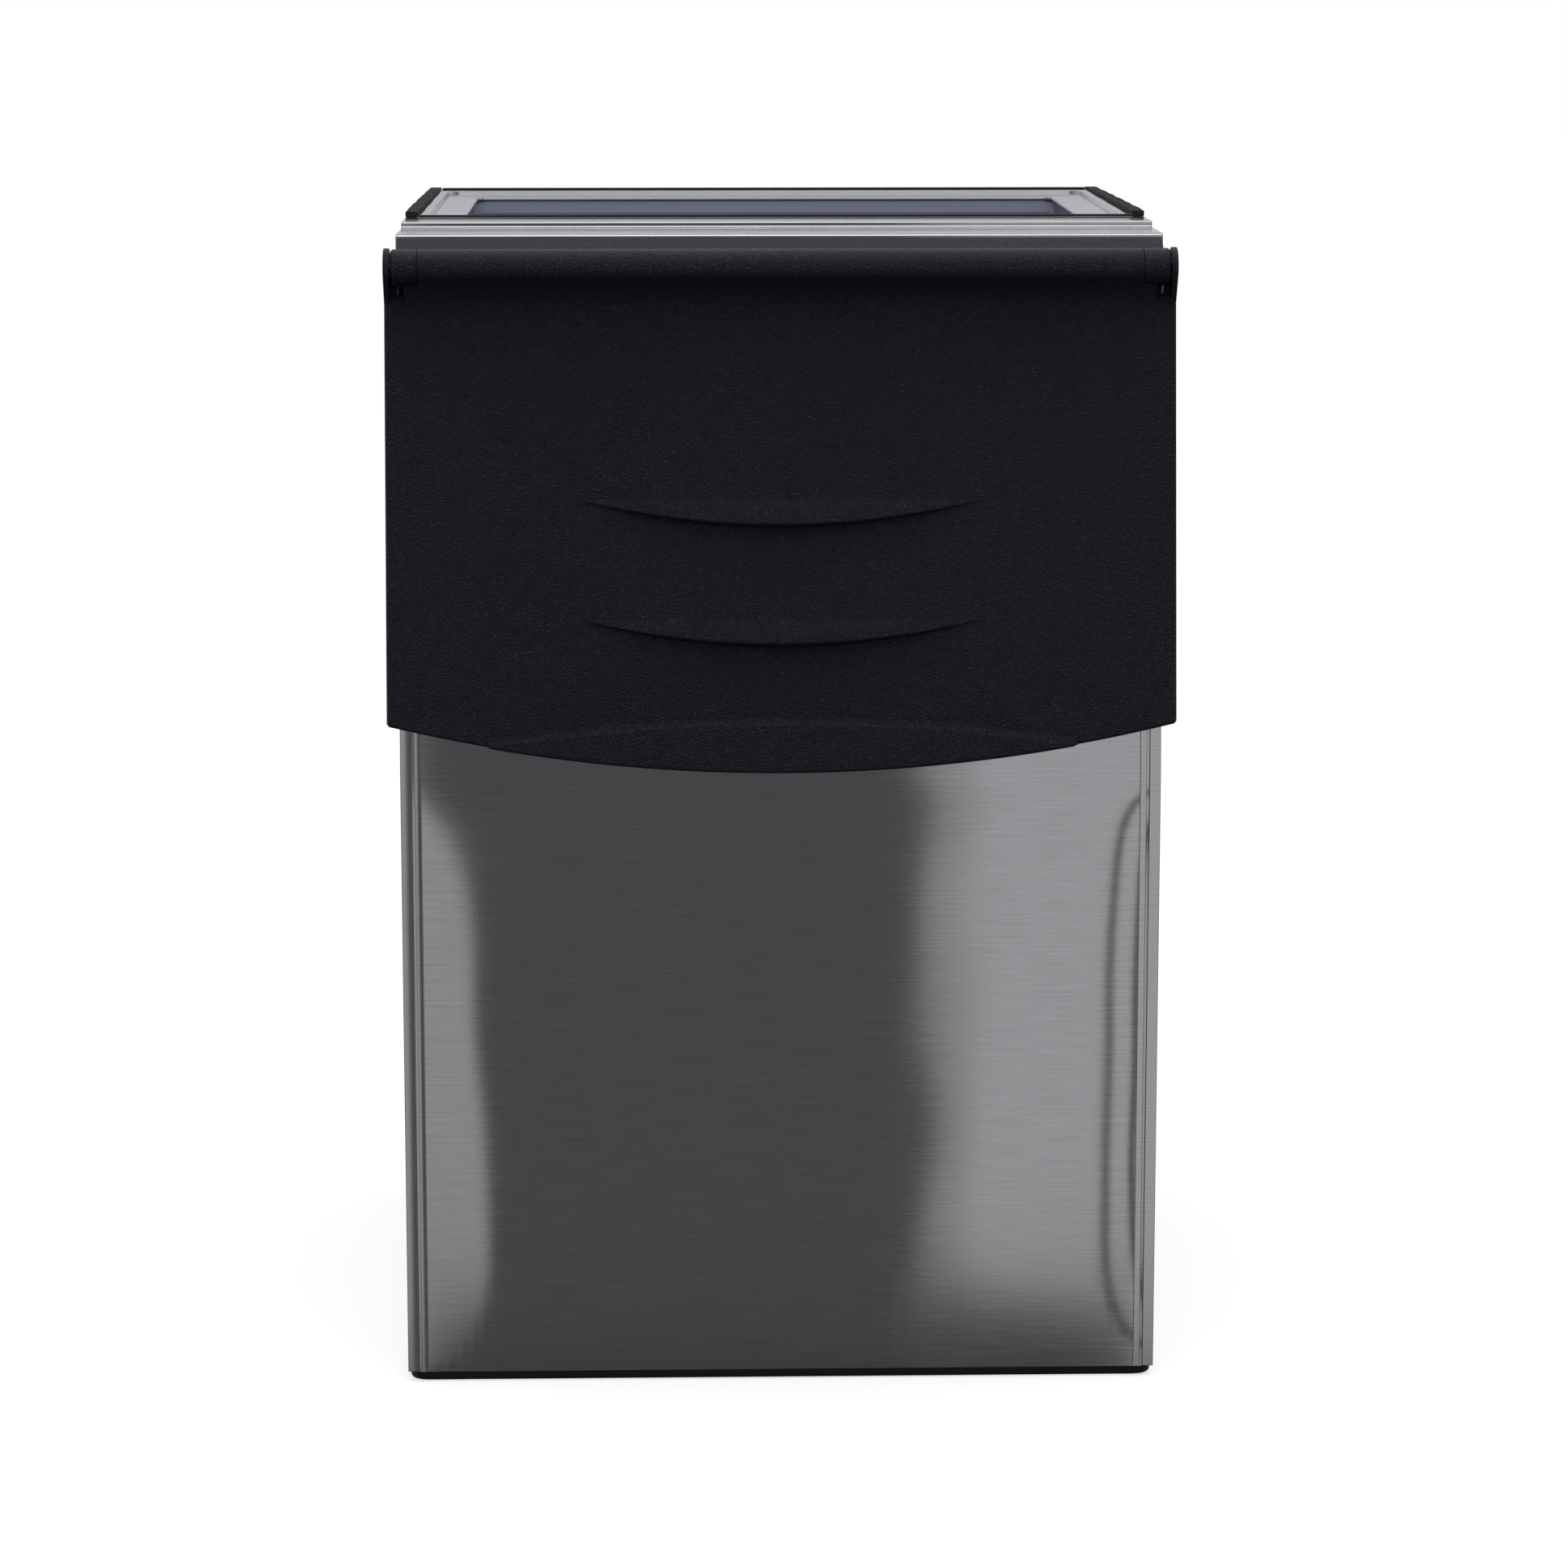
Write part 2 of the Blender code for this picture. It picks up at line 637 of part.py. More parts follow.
def foam_insulation():
    """The front below the access opening and the corner round the drain are poured as their own blocks."""
    cavity_front = FRONT_Y + WALL - LINER_WALL - GAP
    regions = {
        "foam_front": (THROAT_HALF_WIDTH + LINER_WALL + GAP, (-0.5, cavity_front), (-0.1, 0.74)),
        "foam_drain_block": (FOAM_BLOCK_HALF_WIDTH, (FOAM_BLOCK_FRONT_Y, 0.5), (-0.1, FOAM_BLOCK_TOP_Z)),
    }
    main = foam_wall("foam_insulation")
    for name, region in regions.items():
        combine(foam_wall(name), "INTERSECT", foam_region(0.0, *region, name + "_limits"))
        cut(main, foam_region(GAP, *region, name + "_room"))
    cut(main, *screw_holes("foam_screw_hole", 0.0023, 0.012))


def throat_frame():
    """Flat frame round the access opening, which the door's seal lands on."""
    near = GAP + THROAT_FRAME
    frame = add(
        "throat_frame",
        leaning(throat_outline(THROAT_FRAME_LIP), lambda z: front_y(z) - near, lambda z: front_y(z) - GAP),
        "grey_plastic",
    )
    cut(frame, throat_passage(0.0, "frame_throat_cutter"))


def head_gaskets():
    """Foam tape round the mouth, which the ice-making head beds on, and a thin trim along the front."""
    low = RIM_Z + GAP
    z = (low, low + HEAD_GASKET_HEIGHT)
    front = MOUTH_FRONT_Y + 0.004
    inner = HALF_WIDTH - HEAD_GASKET_WIDTH
    for side, name in ((-1, "head_gasket_left"), (1, "head_gasket_right")):
        x = sorted((side * HALF_WIDTH, side * inner))
        add(name, block(x, (front, BACK_Y), z), "foam_rubber")
    rear_z = (low, low + REAR_GASKET_HEIGHT)
    rear = block((GAP - inner, inner - GAP), (BACK_Y - HEAD_GASKET_WIDTH, BACK_Y), rear_z)
    add("head_gasket_rear", rear, "foam_rubber")
    trim_front = MOUTH_FRONT_Y + 2 * GAP
    trim = block((GAP - inner, inner - GAP), (trim_front, trim_front + 0.0035), (low, low + 0.0025))
    add("mouth_edge_trim", trim, "vinyl")


# ---------------------------------------------------------------- hinge


def hinge_back():
    """Side view of the hinge pieces' back on the cabinet, from below to above."""
    return [(front_y(z) - 2 * GAP, z) for z in (HINGE_LOW_Z, HINGE_TOP_Z)]


def hinge_rail():
    """Rail hollowed round the barrel. Its upper edge stops the opened door just past upright."""
    outline = hinge_back() + arc((AXIS_Y, AXIS_Z), BARREL_RADIUS + CLEARANCE, 55, -45, 10)
    add("hinge_rail", prism(outline, -BARREL_HALF_WIDTH, BARREL_HALF_WIDTH), "black_plastic")


def hinge_knuckles():
    """Fixed knuckle at each end of the barrel, with a screwed flange behind the door."""
    outline = hinge_back() + arc((AXIS_Y, AXIS_Z), BARREL_RADIUS, 50, 300, 20)
    for side, name in ((-1, "left"), (1, "right")):
        x = (side * KNUCKLE_INNER_X, side * KNUCKLE_OUTER_X)
        knuckle = add(f"hinge_knuckle_{name}", prism(outline, *x), "black_plastic")
        flange_outline = [(0.3475, 1.070), (0.3590, 1.070), (0.3790, 1.092), (0.3790, 1.117)]
        flange_outline += [(KNUCKLE_INNER_X, 1.117), (KNUCKLE_INNER_X, HINGE_LOW_Z - GAP)]
        flange_outline += [(0.3475, HINGE_LOW_Z - GAP)]
        flange_outline = [(side * x, z) for x, z in flange_outline]
        flange = leaning(flange_outline, lambda z: front_y(z) - 0.003, lambda z: front_y(z) - GAP)
        # the seam strip runs under the flange
        under_flange = [(0.3592, 1.060), (0.3675, 1.060), (0.3675, 1.160), (0.3592, 1.160)]
        under_flange = [(side * x, z) for x, z in under_flange]
        strip_clear = leaning(under_flange, lambda z: front_y(z) - 0.0022, lambda z: front_y(z) + 0.01)
        join(knuckle, add("knuckle_flange", flange))
        cut(knuckle, add("seam_strip_clearance", strip_clear))
        bore = rod(PIN_RADIUS + 0.0005, side * 0.35, side * 0.39, (0, AXIS_Y, AXIS_Z), "X")
        cut(knuckle, add("knuckle_bore", bore))
        for place, (screw_x, z) in hinge_screw_places().items():
            if place.startswith(name):
                hole = rod(0.0023, -0.02, 0.01, (screw_x, front_y(z), z), "Y", 16)
                cut(knuckle, add("knuckle_screw_hole", hole))


def hinge_screws():
    """Pan-head screws through the knuckle flanges into the wall."""
    for place, (x, z) in hinge_screw_places().items():
        seat = -0.003 - GAP - 0.0004
        profile = [(0, seat - 0.0022), (0.0026, seat - 0.0018), (0.0036, seat)]
        profile += [(0.0019, seat), (0.0019, 0.009), (0, 0.011)]
        add(f"hinge_screw_{place}", turned(profile, (x, front_y(z), z), "Y", 16), "steel", smooth=True)


def hinge_pins():
    """Steel pins through the ears and knuckles into the barrel, fast in the door."""
    for side, name in ((-1, "hinge_pin_left"), (1, "hinge_pin_right")):
        inner = side * 0.332
        outer = side * (DOOR_HALF_WIDTH + 0.0005)
        tip = 0.001 * side
        profile = [(0, inner), (PIN_RADIUS - 0.001, inner), (PIN_RADIUS, inner + tip)]
        profile += [(PIN_RADIUS, outer - tip), (PIN_RADIUS - 0.001, outer), (0, outer)]
        add(name, turned(profile, (0, AXIS_Y, AXIS_Z), "X"), "steel", smooth=True)


# ---------------------------------------------------------------- door


def cove_outline():
    """Side view of the barrel, the hollow cove under it and the neck that ties both to the face."""
    slope = math.atan2(FACE_TOP_Y - FACE_LOW_Y, SHOULDER_Z - DOOR_LOW_Z)
    up = (math.sin(slope), math.cos(slope))  # along the face
    out = (-math.cos(slope), math.sin(slope))  # square to the face
    axis = (AXIS_Y - FACE_TOP_Y, AXIS_Z - SHOULDER_Z)
    reach = COVE_RADIUS + BARREL_RADIUS
    w = (out[0] * COVE_RADIUS - axis[0], out[1] * COVE_RADIUS - axis[1])
    half_b = w[0] * up[0] + w[1] * up[1]
    along = -half_b - math.sqrt(half_b**2 - (w[0] ** 2 + w[1] ** 2) + reach**2)
    centre = (
        FACE_TOP_Y + out[0] * COVE_RADIUS + up[0] * along,
        SHOULDER_Z + out[1] * COVE_RADIUS + up[1] * along,
    )
    start = -math.degrees(slope)
    towards_axis = math.degrees(math.atan2(AXIS_Z - centre[1], AXIS_Y - centre[0]))
    outline = arc(centre, COVE_RADIUS, start, towards_axis, 8)
    foot = outline[0]
    around = arc((AXIS_Y, AXIS_Z), BARREL_RADIUS, towards_axis + 180, -62, 24)
    outline += around[1:]
    neck = SHOULDER_Z - DOOR_SKIN + 0.0004
    inside = DOOR_SKIN - 0.0004
    outline += [(AXIS_Y + 0.0095, neck), (face_y(neck) + inside, neck), (foot[0] + inside, foot[1])]
    return outline


def smile_rings(chord_z):
    """Cross sections of a raised crescent: flush along its straight top, proudest above its curved foot."""
    rings = []
    stations = 16
    backing = 0.0015
    for i in range(stations + 1):
        x = SMILE_HALF_WIDTH * 0.985 * (2 * i / stations - 1)
        share = 1 - (x / SMILE_HALF_WIDTH) ** 2
        ridge = chord_z - SMILE_DROP * share * 0.78
        foot = chord_z - SMILE_DROP * share
        proud = SMILE_RAISE * share
        ring = [(face_y(chord_z) + backing, chord_z), (face_y(chord_z) - 0.0001, chord_z)]
        ring += [(face_y(ridge) - proud, ridge)]
        ring += [(face_y(foot) - 0.0001, foot), (face_y(foot) + backing, foot)]
        rings.append([(x, y, z) for y, z in ring])
    return rings


def pull_outline(margin):
    """Front outline of the raised hand pull: an arc above, the door's own bottom edge below."""
    half = PULL_HALF_WIDTH - margin
    rise = PULL_TOP_Z - PULL_END_Z
    count = 12
    xs = [half - 2 * half * i / count for i in range(count + 1)]
    top = [(x, PULL_TOP_Z - margin - rise * (x / PULL_HALF_WIDTH) ** 2) for x in xs]
    bottom = [(x, door_bottom_z(x) + 0.0002) for x in xs[::-1]]
    return top + bottom


def pull_body():
    step = 0.007
    rings = [[(x, face_y(z) + 0.0015, z) for x, z in pull_outline(0.0)]]
    rings.append([(x, face_y(z) - 0.0001, z) for x, z in pull_outline(0.0)])
    rings.append([(x, face_y(z) - PULL_RAISE, z) for x, z in pull_outline(step)])
    return loft(rings)


def pull_pocket(grow=0.0):
    """Space for the fingers, up behind the pull."""
    half = 0.200 + grow
    top = 0.678 + grow
    outline = [(-half, 0.600), (half, 0.600), (half, top), (-half, top)]
    return leaning(outline, lambda z: face_y(z) + 0.006 - grow, lambda z: rim_y(z) - 0.009 + grow)


def door_ear(side):
    """Lug outside each knuckle, drawn up from the door's side wall."""
    outline = arc((AXIS_Y, AXIS_Z), EAR_RADIUS, 0, 200, 16)
    low = SHOULDER_Z - 0.017
    high = SHOULDER_Z + 0.001
    outline += [(FACE_TOP_Y + 0.002, low + 0.006), (FACE_TOP_Y + 0.004, low), (rim_y(low) - 0.001, low)]
    outline += [(rim_y(high) - 0.001, high)]
    return prism(outline, side * EAR_INNER_X, side * DOOR_HALF_WIDTH)


def door_shell():
    """Outer skin of the door with its barrel, ears, crescents and hand pull, open at the back."""
    shell = add("door_shell", leaning(door_outline(), face_y, rim_y), "black_plastic")
    barrel = add("door_barrel", prism(cove_outline(), -COVE_HALF_WIDTH, COVE_HALF_WIDTH))
    for side in (-1, 1):
        end = side * (DOOR_HALF_WIDTH + 0.01)
        axis = (0, AXIS_Y, AXIS_Z)
        room = rod(BARREL_RADIUS + KNUCKLE_ROOM, side * BARREL_HALF_WIDTH, end, axis, "X", 40)
        bore = add("door_pin_bore", rod(PIN_RADIUS + GAP, side * PIN_BORE_END, end, axis, "X", 26))
        cut(barrel, bore, add("knuckle_room", room))
        ear = add("door_ear", door_ear(side))
        cut(ear, bore)
        join(shell, ear)
    join(shell, barrel)
    for chord in SMILE_CHORDS_Z:
        join(shell, add("door_smile", loft(smile_rings(chord))))
    join(shell, add("door_pull", pull_body()))
    inside = leaning(door_outline(DOOR_SKIN), lambda z: face_y(z) + DOOR_SKIN, lambda z: rim_y(z) + 0.02)
    cut(shell, add("door_hollow", inside))
    cut(shell, add("shell_pull_slot", pull_pocket()))


def door_fill(front_margin, back_margin, name, finish):
    """A solid that fills the shell's inside between two depths."""
    return add(
        name,
        leaning(
            door_outline(DOOR_SKIN + GAP),
            lambda z: face_y(z) + front_margin,
            lambda z: rim_y(z) - back_margin,
        ),
        finish,
    )


def door_core():
    """Foam that fills the door, with room for the finger cup."""
    core = door_fill(DOOR_SKIN + GAP, DOOR_SKIN + GAP, "door_core", "foam")
    room = block((-0.2063, 0.2063), (-0.5, -0.3), (0.60, 0.6853))
    cut(core, add("core_cup_room", room))


def pull_cup():
    """Moulded cup behind the pull, open below for the fingers."""
    cup = door_fill(DOOR_SKIN + GAP, DOOR_SKIN + GAP, "pull_cup", "black_plastic")
    combine(cup, "INTERSECT", add("cup_limits", block((-0.206, 0.206), (-0.5, -0.3), (0.60, 0.685))))
    cut(cup, add("cup_pocket", pull_pocket(0.0008)))


def door_screw_places():
    sides = {"left": -1, "right": 1}
    heights = {"low": 0.700, "middle": 0.900, "high": 1.085}
    return {
        f"{side}_{row}": (sign * 0.372, z) for side, sign in sides.items() for row, z in heights.items()
    }


def door_liner():
    """Inner panel of the door, with a dished plug that enters the throat."""
    panel = door_fill(0.0, 0.0, "door_liner", "grey_plastic")
    wide = [(-0.5, 0.5), (0.5, 0.5), (0.5, 1.3), (-0.5, 1.3)]
    keep = leaning(wide, lambda z: rim_y(z) - DOOR_SKIN, lambda z: rim_y(z) + 0.05)
    combine(panel, "INTERSECT", add("door_liner_limits", keep))

    def plug(margin, near, far):
        rings = []
        for y_of, taper in ((near, 0.0), (far, 0.012)):
            shrink = margin + taper
            across = (shrink - 0.300, 0.300 - shrink)
            outline = rounded_box(across, (0.757 + shrink, 1.065 - shrink), 0.030 - margin)
            rings.append([(x, rim_y(z) + y_of, z) for x, z in outline])
        return loft(rings)

    join(panel, add("door_plug", plug(0.0, -0.0015, 0.020)))
    cut(panel, add("door_plug_hollow", plug(0.003, -0.006, 0.017)))
    for x, z in door_screw_places().values():
        cut(panel, add("liner_screw_hole", rod(0.0018, -0.01, 0.01, (x, rim_y(z), z), "Y", 12)))


def door_gasket():
    """Vinyl seal on the inner panel, which closes on the throat frame."""

    def ring(grow, name, finish=None, reach=0.0):
        outline = rounded_box((-0.319 - grow, 0.319 + grow), (0.736 - grow, 1.084 + grow), 0.022 + grow)
        near = GAP - reach
        far = DOOR_STAND_OFF - THROAT_FRAME - 2 * GAP + reach
        return add(name, leaning(outline, lambda z: rim_y(z) + near, lambda z: rim_y(z) + far), finish)

    cut(ring(0.014, "door_gasket", "vinyl"), ring(0.002, "gasket_inside", reach=0.01))


def door_screws():
    for place, (x, z) in door_screw_places().items():
        profile = [(0, 0.0020), (0.0024, 0.0017), (0.0033, GAP)]
        profile += [(0.0015, GAP), (0.0015, -0.0026), (0, -0.0030)]
        add(f"door_screw_{place}", turned(profile, (x, rim_y(z), z), "Y", 16), "steel", smooth=True)


def door_bumpers():
    """Rubber buttons that meet the cabinet just as the seal closes."""
    for side, name in ((-1, "door_bumper_left"), (1, "door_bumper_right")):
        z = 0.712
        far = DOOR_STAND_OFF - 2 * GAP - 0.0004
        near = 0.0010
        profile = [(0, near), (0.0060, near), (0.0060, 0.0040), (0.0045, far), (0, far)]
        add(name, turned(profile, (side * 0.3505, rim_y(z), z), "Y", 20), "foam_rubber", smooth=True)


# ---------------------------------------------------------------- inside the store


def baffle():
    """Hanging deflector behind the throat, bent inwards at its foot so that it hangs plumb."""
    plate_y = BAFFLE_PIVOT_Y - 0.010
    top = BAFFLE_PIVOT_Z + 0.014
    bend = BAFFLE_PIVOT_Z - 0.120
    foot = BAFFLE_PIVOT_Z - 0.185
    line = [(plate_y, top), (plate_y, bend), (plate_y + 0.0455, foot)]
    outline = line + [(y + BAFFLE_SHEET, z) for y, z in line[::-1]]
    plate = add("baffle", prism(outline, -BAFFLE_HALF_WIDTH, BAFFLE_HALF_WIDTH), "white_plastic")
    for side in (-1, 1):
        ear = arc((BAFFLE_PIVOT_Y, BAFFLE_PIVOT_Z), 0.010, -90, 90, 8)
        ear += [(plate_y + 0.001, BAFFLE_PIVOT_Z + 0.012), (plate_y + 0.001, BAFFLE_PIVOT_Z - 0.024)]
        inner = side * (BAFFLE_HALF_WIDTH - 0.004)
        outer = side * (BAFFLE_HALF_WIDTH - 0.0002)
        join(plate, add("baffle_ear", prism(ear, inner, outer)))
        pivot = (0, BAFFLE_PIVOT_Y, BAFFLE_PIVOT_Z)
        hole = rod(BAFFLE_PIN_RADIUS + 0.0005, inner - side * 0.005, outer + side * 0.005, pivot, "X")
        cut(plate, add("baffle_hole", hole))


def baffle_pins():
    """Headed studs on the liner's side walls."""
    for side, name in ((-1, "baffle_pin_left"), (1, "baffle_pin_right")):
        wall = side * (CAVITY_HALF_WIDTH - GAP)
        radius = BAFFLE_PIN_RADIUS
        profile = [(0, wall), (0.0065, wall), (0.0065, wall - side * 0.004), (radius, wall - side * 0.004)]
        profile += [(radius, side * 0.3150), (0.0055, side * 0.3150)]
        profile += [(0.0055, side * 0.3120), (0, side * 0.3120)]
        stud = turned(profile, (0, BAFFLE_PIVOT_Y, BAFFLE_PIVOT_Z), "X")
        add(name, stud, "steel", smooth=True)


def drain():
    """Bulkhead tube through the back wall, its nut outside and its strainer inside."""
    bore = 0.0105
    inner = CAVITY_BACK_Y - 0.001 - GAP
    rear = BACK_Y + 0.008
    flange = 0.020
    profile = [(bore, inner - 0.003), (flange, inner - 0.003), (flange, inner), (DRAIN_RADIUS, inner)]
    profile += [(DRAIN_RADIUS, rear), (bore, rear)]
    add("drain_tube", turned(profile, (0, 0, DRAIN_Z), "Y"), "grey_plastic", smooth=True)

    nut_outline = [(x, DRAIN_Z + z) for x, z in arc((0, 0), 0.0215, 30, 330, 5)]
    nut = add("drain_nut", prism(nut_outline, BACK_Y + GAP, rear - 0.001, "Y"), "grey_plastic")
    nut_bore = rod(DRAIN_RADIUS + GAP, BACK_Y - 0.01, rear + 0.01, (0, 0, DRAIN_Z), "Y")
    cut(nut, add("drain_nut_bore", nut_bore))

    face = inner - 0.003 - GAP
    cap = [(0, face - 0.006), (0.016, face - 0.006), (0.0195, face - 0.003), (0.0195, face), (0.017, face)]
    cap += [(0.017, face - 0.003), (0, face - 0.004)]
    strainer = add("drain_strainer", turned(cap, (0, 0, DRAIN_Z), "Y"), "grey_plastic", smooth=True)
    for row in (-1, 0, 1):
        slot_z = DRAIN_Z + row * 0.008
        slot = block((-0.012, 0.012), (face - 0.02, face + 0.01), (slot_z - 0.0015, slot_z + 0.0015))
        cut(strainer, add("strainer_slot", slot))


def clear_scene():
    for obj in list(bpy.data.objects):
        bpy.data.objects.remove(obj)


def main():
    clear_scene()
    base_tray()
    leg_sockets()
    side_panels()
    front_panel()
    seam_strips()
    back_panel()
    back_screws()
    top_front_strip()
    top_frame()
    liner()
    foam_insulation()
    throat_frame()
    head_gaskets()
    hinge_rail()
    hinge_knuckles()
    hinge_screws()
    hinge_pins()
    door_shell()
    door_core()
    pull_cup()
    door_liner()
    door_gasket()
    door_screws()
    door_bumpers()
    baffle()
    baffle_pins()
    drain()


main()
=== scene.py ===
from math import atan2, copysign, cos, degrees, dist, exp, hypot, pi, radians, sin, sqrt

import bmesh
import bpy
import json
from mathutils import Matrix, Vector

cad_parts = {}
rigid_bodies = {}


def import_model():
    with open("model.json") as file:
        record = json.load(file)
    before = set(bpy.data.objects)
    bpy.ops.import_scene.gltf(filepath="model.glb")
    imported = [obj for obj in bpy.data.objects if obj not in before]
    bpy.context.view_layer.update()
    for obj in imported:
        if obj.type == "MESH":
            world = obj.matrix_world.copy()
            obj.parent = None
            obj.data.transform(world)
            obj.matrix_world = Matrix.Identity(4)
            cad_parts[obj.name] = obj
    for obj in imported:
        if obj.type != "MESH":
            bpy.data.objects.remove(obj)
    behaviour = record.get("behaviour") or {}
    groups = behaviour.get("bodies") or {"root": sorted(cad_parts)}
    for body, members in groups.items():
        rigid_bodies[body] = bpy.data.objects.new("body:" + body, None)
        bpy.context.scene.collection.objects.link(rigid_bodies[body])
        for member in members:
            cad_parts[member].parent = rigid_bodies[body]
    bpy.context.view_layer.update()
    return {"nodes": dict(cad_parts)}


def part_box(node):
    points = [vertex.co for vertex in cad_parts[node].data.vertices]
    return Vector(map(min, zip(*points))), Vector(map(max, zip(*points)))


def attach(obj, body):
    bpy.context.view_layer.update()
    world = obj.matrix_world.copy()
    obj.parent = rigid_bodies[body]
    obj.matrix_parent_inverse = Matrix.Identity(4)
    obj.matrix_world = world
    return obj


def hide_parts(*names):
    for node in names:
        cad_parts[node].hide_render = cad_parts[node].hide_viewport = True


for thing in list(bpy.data.objects):
    bpy.data.objects.remove(thing)
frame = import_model()
print("frame loaded:", len(frame["nodes"]), "nodes")

# Metres, +Z up. The front looks along -Y, and its upper part leans back above the knee.
cabinet = {
    "halfWidth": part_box("side_panel_right")[1].x,
    "frontY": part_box("front_panel")[0].y,
    "topFrontY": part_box("top_front_strip")[0].y,
    "stripZ": 1.165,
    "rimZ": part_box("top_frame")[1].z,
    "kneeZ": 0.625,
    "stepY": -0.197,
    "sheet": 0.0015,
    "gap": 0.0003,
}


sides = ("left", "right")
frontLean = (cabinet["topFrontY"] - cabinet["frontY"]) / (cabinet["stripZ"] - cabinet["kneeZ"])


def frontAt(z):
    return cabinet["frontY"] + max(0.0, z - cabinet["kneeZ"]) * frontLean


# Making and finishing meshes


def addObject(name, data):
    thing = bpy.data.objects.new(name, data)
    bpy.context.scene.collection.objects.link(thing)
    return thing


def meshPiece(name, verts, faces, edges=()):
    mesh = bpy.data.meshes.new(name)
    mesh.from_pydata(verts, list(edges), faces)
    return addObject(name, mesh)


def settle(piece):
    # the evaluated shape becomes the piece's plain mesh
    graph = bpy.context.evaluated_depsgraph_get()
    mesh = bpy.data.meshes.new_from_object(piece.evaluated_get(graph))
    piece.modifiers.clear()
    piece.data = mesh


def turnOutwards(piece):
    shape = bmesh.new()
    shape.from_mesh(piece.data)
    bmesh.ops.remove_doubles(shape, verts=shape.verts[:], dist=1e-6)
    bmesh.ops.recalc_face_normals(shape, faces=shape.faces[:])
    shape.to_mesh(piece.data)
    shape.free()


def roundEdges(piece, width, segments, angle):
    bevel = piece.modifiers.new("roundEdges", "BEVEL")
    bevel.width = width
    bevel.segments = segments
    bevel.limit_method = "ANGLE"
    bevel.angle_limit = radians(angle)
    settle(piece)


def carve(piece, cutter):
    boolean = piece.modifiers.new("carve", "BOOLEAN")
    boolean.operation = "DIFFERENCE"
    boolean.solver = "EXACT"
    boolean.object = cutter
    settle(piece)
    bpy.data.objects.remove(cutter)


def layBrush(piece):
    # U runs along the brushed grain, V across it
    layer = piece.data.uv_layers.new(name="brush")
    for face in piece.data.polygons:
        side = abs(face.normal.x) > 0.7
        flat = abs(face.normal.z) > 0.7
        for loop in face.loop_indices:
            place = piece.data.vertices[piece.data.loops[loop].vertex_index].co
            layer.data[loop].uv = (place.y if side else place.x, place.y if flat else place.z)


def finishPiece(piece, finishName, body, nodes, sharp=35):
    finish = finishes[finishName]
    piece.data.materials.clear()
    piece.data.materials.append(finish["material"])
    piece.data.polygons.foreach_set("material_index", [0] * len(piece.data.polygons))
    piece.data.shade_smooth()
    piece.data.set_sharp_from_angle(angle=radians(sharp))
    # large flat faces keep their own direction beside their small rounded edges
    flatten = piece.modifiers.new("flatFaces", "WEIGHTED_NORMAL")
    flatten.weight = 100
    flatten.keep_sharp = True
    settle(piece)
    if finish.get("brushed"):
        layBrush(piece)
    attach(piece, body)
    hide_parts(*nodes)


def arc(centre, radius, start, end, steps):
    turn = radians(end - start) / steps
    first = radians(start)
    turns = [first + turn * i for i in range(steps + 1)]
    return [(centre[0] + radius * cos(a), centre[1] + radius * sin(a)) for a in turns]


def band(start, after, count):
    # faces between two closed rows of points, given the number of each row's first point
    pairs = [(i, (i + 1) % count) for i in range(count)]
    return [(start + i, start + j, after + j, after + i) for i, j in pairs]


def loftPiece(name, rings):
    count = len(rings[0])
    verts = [place for ring in rings for place in ring]
    faces = []
    for level in range(len(rings) - 1):
        faces += band(level * count, (level + 1) * count, count)
    faces.append(tuple(range(count))[::-1])
    faces.append(tuple(range((len(rings) - 1) * count, len(rings) * count)))
    piece = meshPiece(name, verts, faces)
    turnOutwards(piece)
    return piece


def barAlongX(name, outline, low, high):
    return loftPiece(name, [[(x, y, z) for y, z in outline] for x in (low, high)])


def joinPieces(name, pieces):
    whole = bmesh.new()
    for piece in pieces:
        whole.from_mesh(piece.data)
        bpy.data.objects.remove(piece)
    mesh = bpy.data.meshes.new(name)
    whole.to_mesh(mesh)
    whole.free()
    return addObject(name, mesh)


def softened(name, node, width=0.0, segments=3, angle=34):
    # a copy of the frame's solid with its triangles merged and its edges rounded
    piece = addObject(name, frame["nodes"][node].data.copy())
    shape = bmesh.new()
    shape.from_mesh(piece.data)
    bmesh.ops.remove_doubles(shape, verts=shape.verts[:], dist=2e-6)
    flat = radians(0.4)
    bmesh.ops.dissolve_limit(shape, angle_limit=flat, verts=shape.verts[:], edges=shape.edges[:])
    shape.to_mesh(piece.data)
    shape.free()
    for layer in list(piece.data.uv_layers):
        piece.data.uv_layers.remove(layer)
    if piece.data.has_custom_normals:
        piece.data.attributes.remove(piece.data.attributes["custom_normal"])
    if width:
        roundEdges(piece, width, segments, angle)
    return piece


# Finishes


def give(tree, value, socket):
    # links another node's output, or sets a plain value
    if isinstance(value, bpy.types.NodeSocket):
        tree.links.new(value, socket)
    else:
        socket.default_value = value


def feed(tree, node, **inputs):
    for key, value in inputs.items():
        give(tree, value, node.inputs[key.replace("_", " ")])


def addNode(tree, kind, settings=None, **inputs):
    node = tree.nodes.new(kind)
    for key, value in (settings or {}).items():
        setattr(node, key, value)
    feed(tree, node, **inputs)
    return node


def newMaterial(name):
    material = bpy.data.materials.new(name)
    material.use_nodes = True
    tree = material.node_tree
    place = addNode(tree, "ShaderNodeTexCoord").outputs["Object"]
    return material, tree, tree.nodes["Principled BSDF"], place


def math2(tree, operation, a, b, kind="ShaderNodeMath"):
    node = addNode(tree, kind, {"operation": operation})
    give(tree, a, node.inputs[0])
    give(tree, b, node.inputs[1])
    return node.outputs[0]


def vector(tree, **parts):
    return addNode(tree, "ShaderNodeCombineXYZ", **parts).outputs[0]


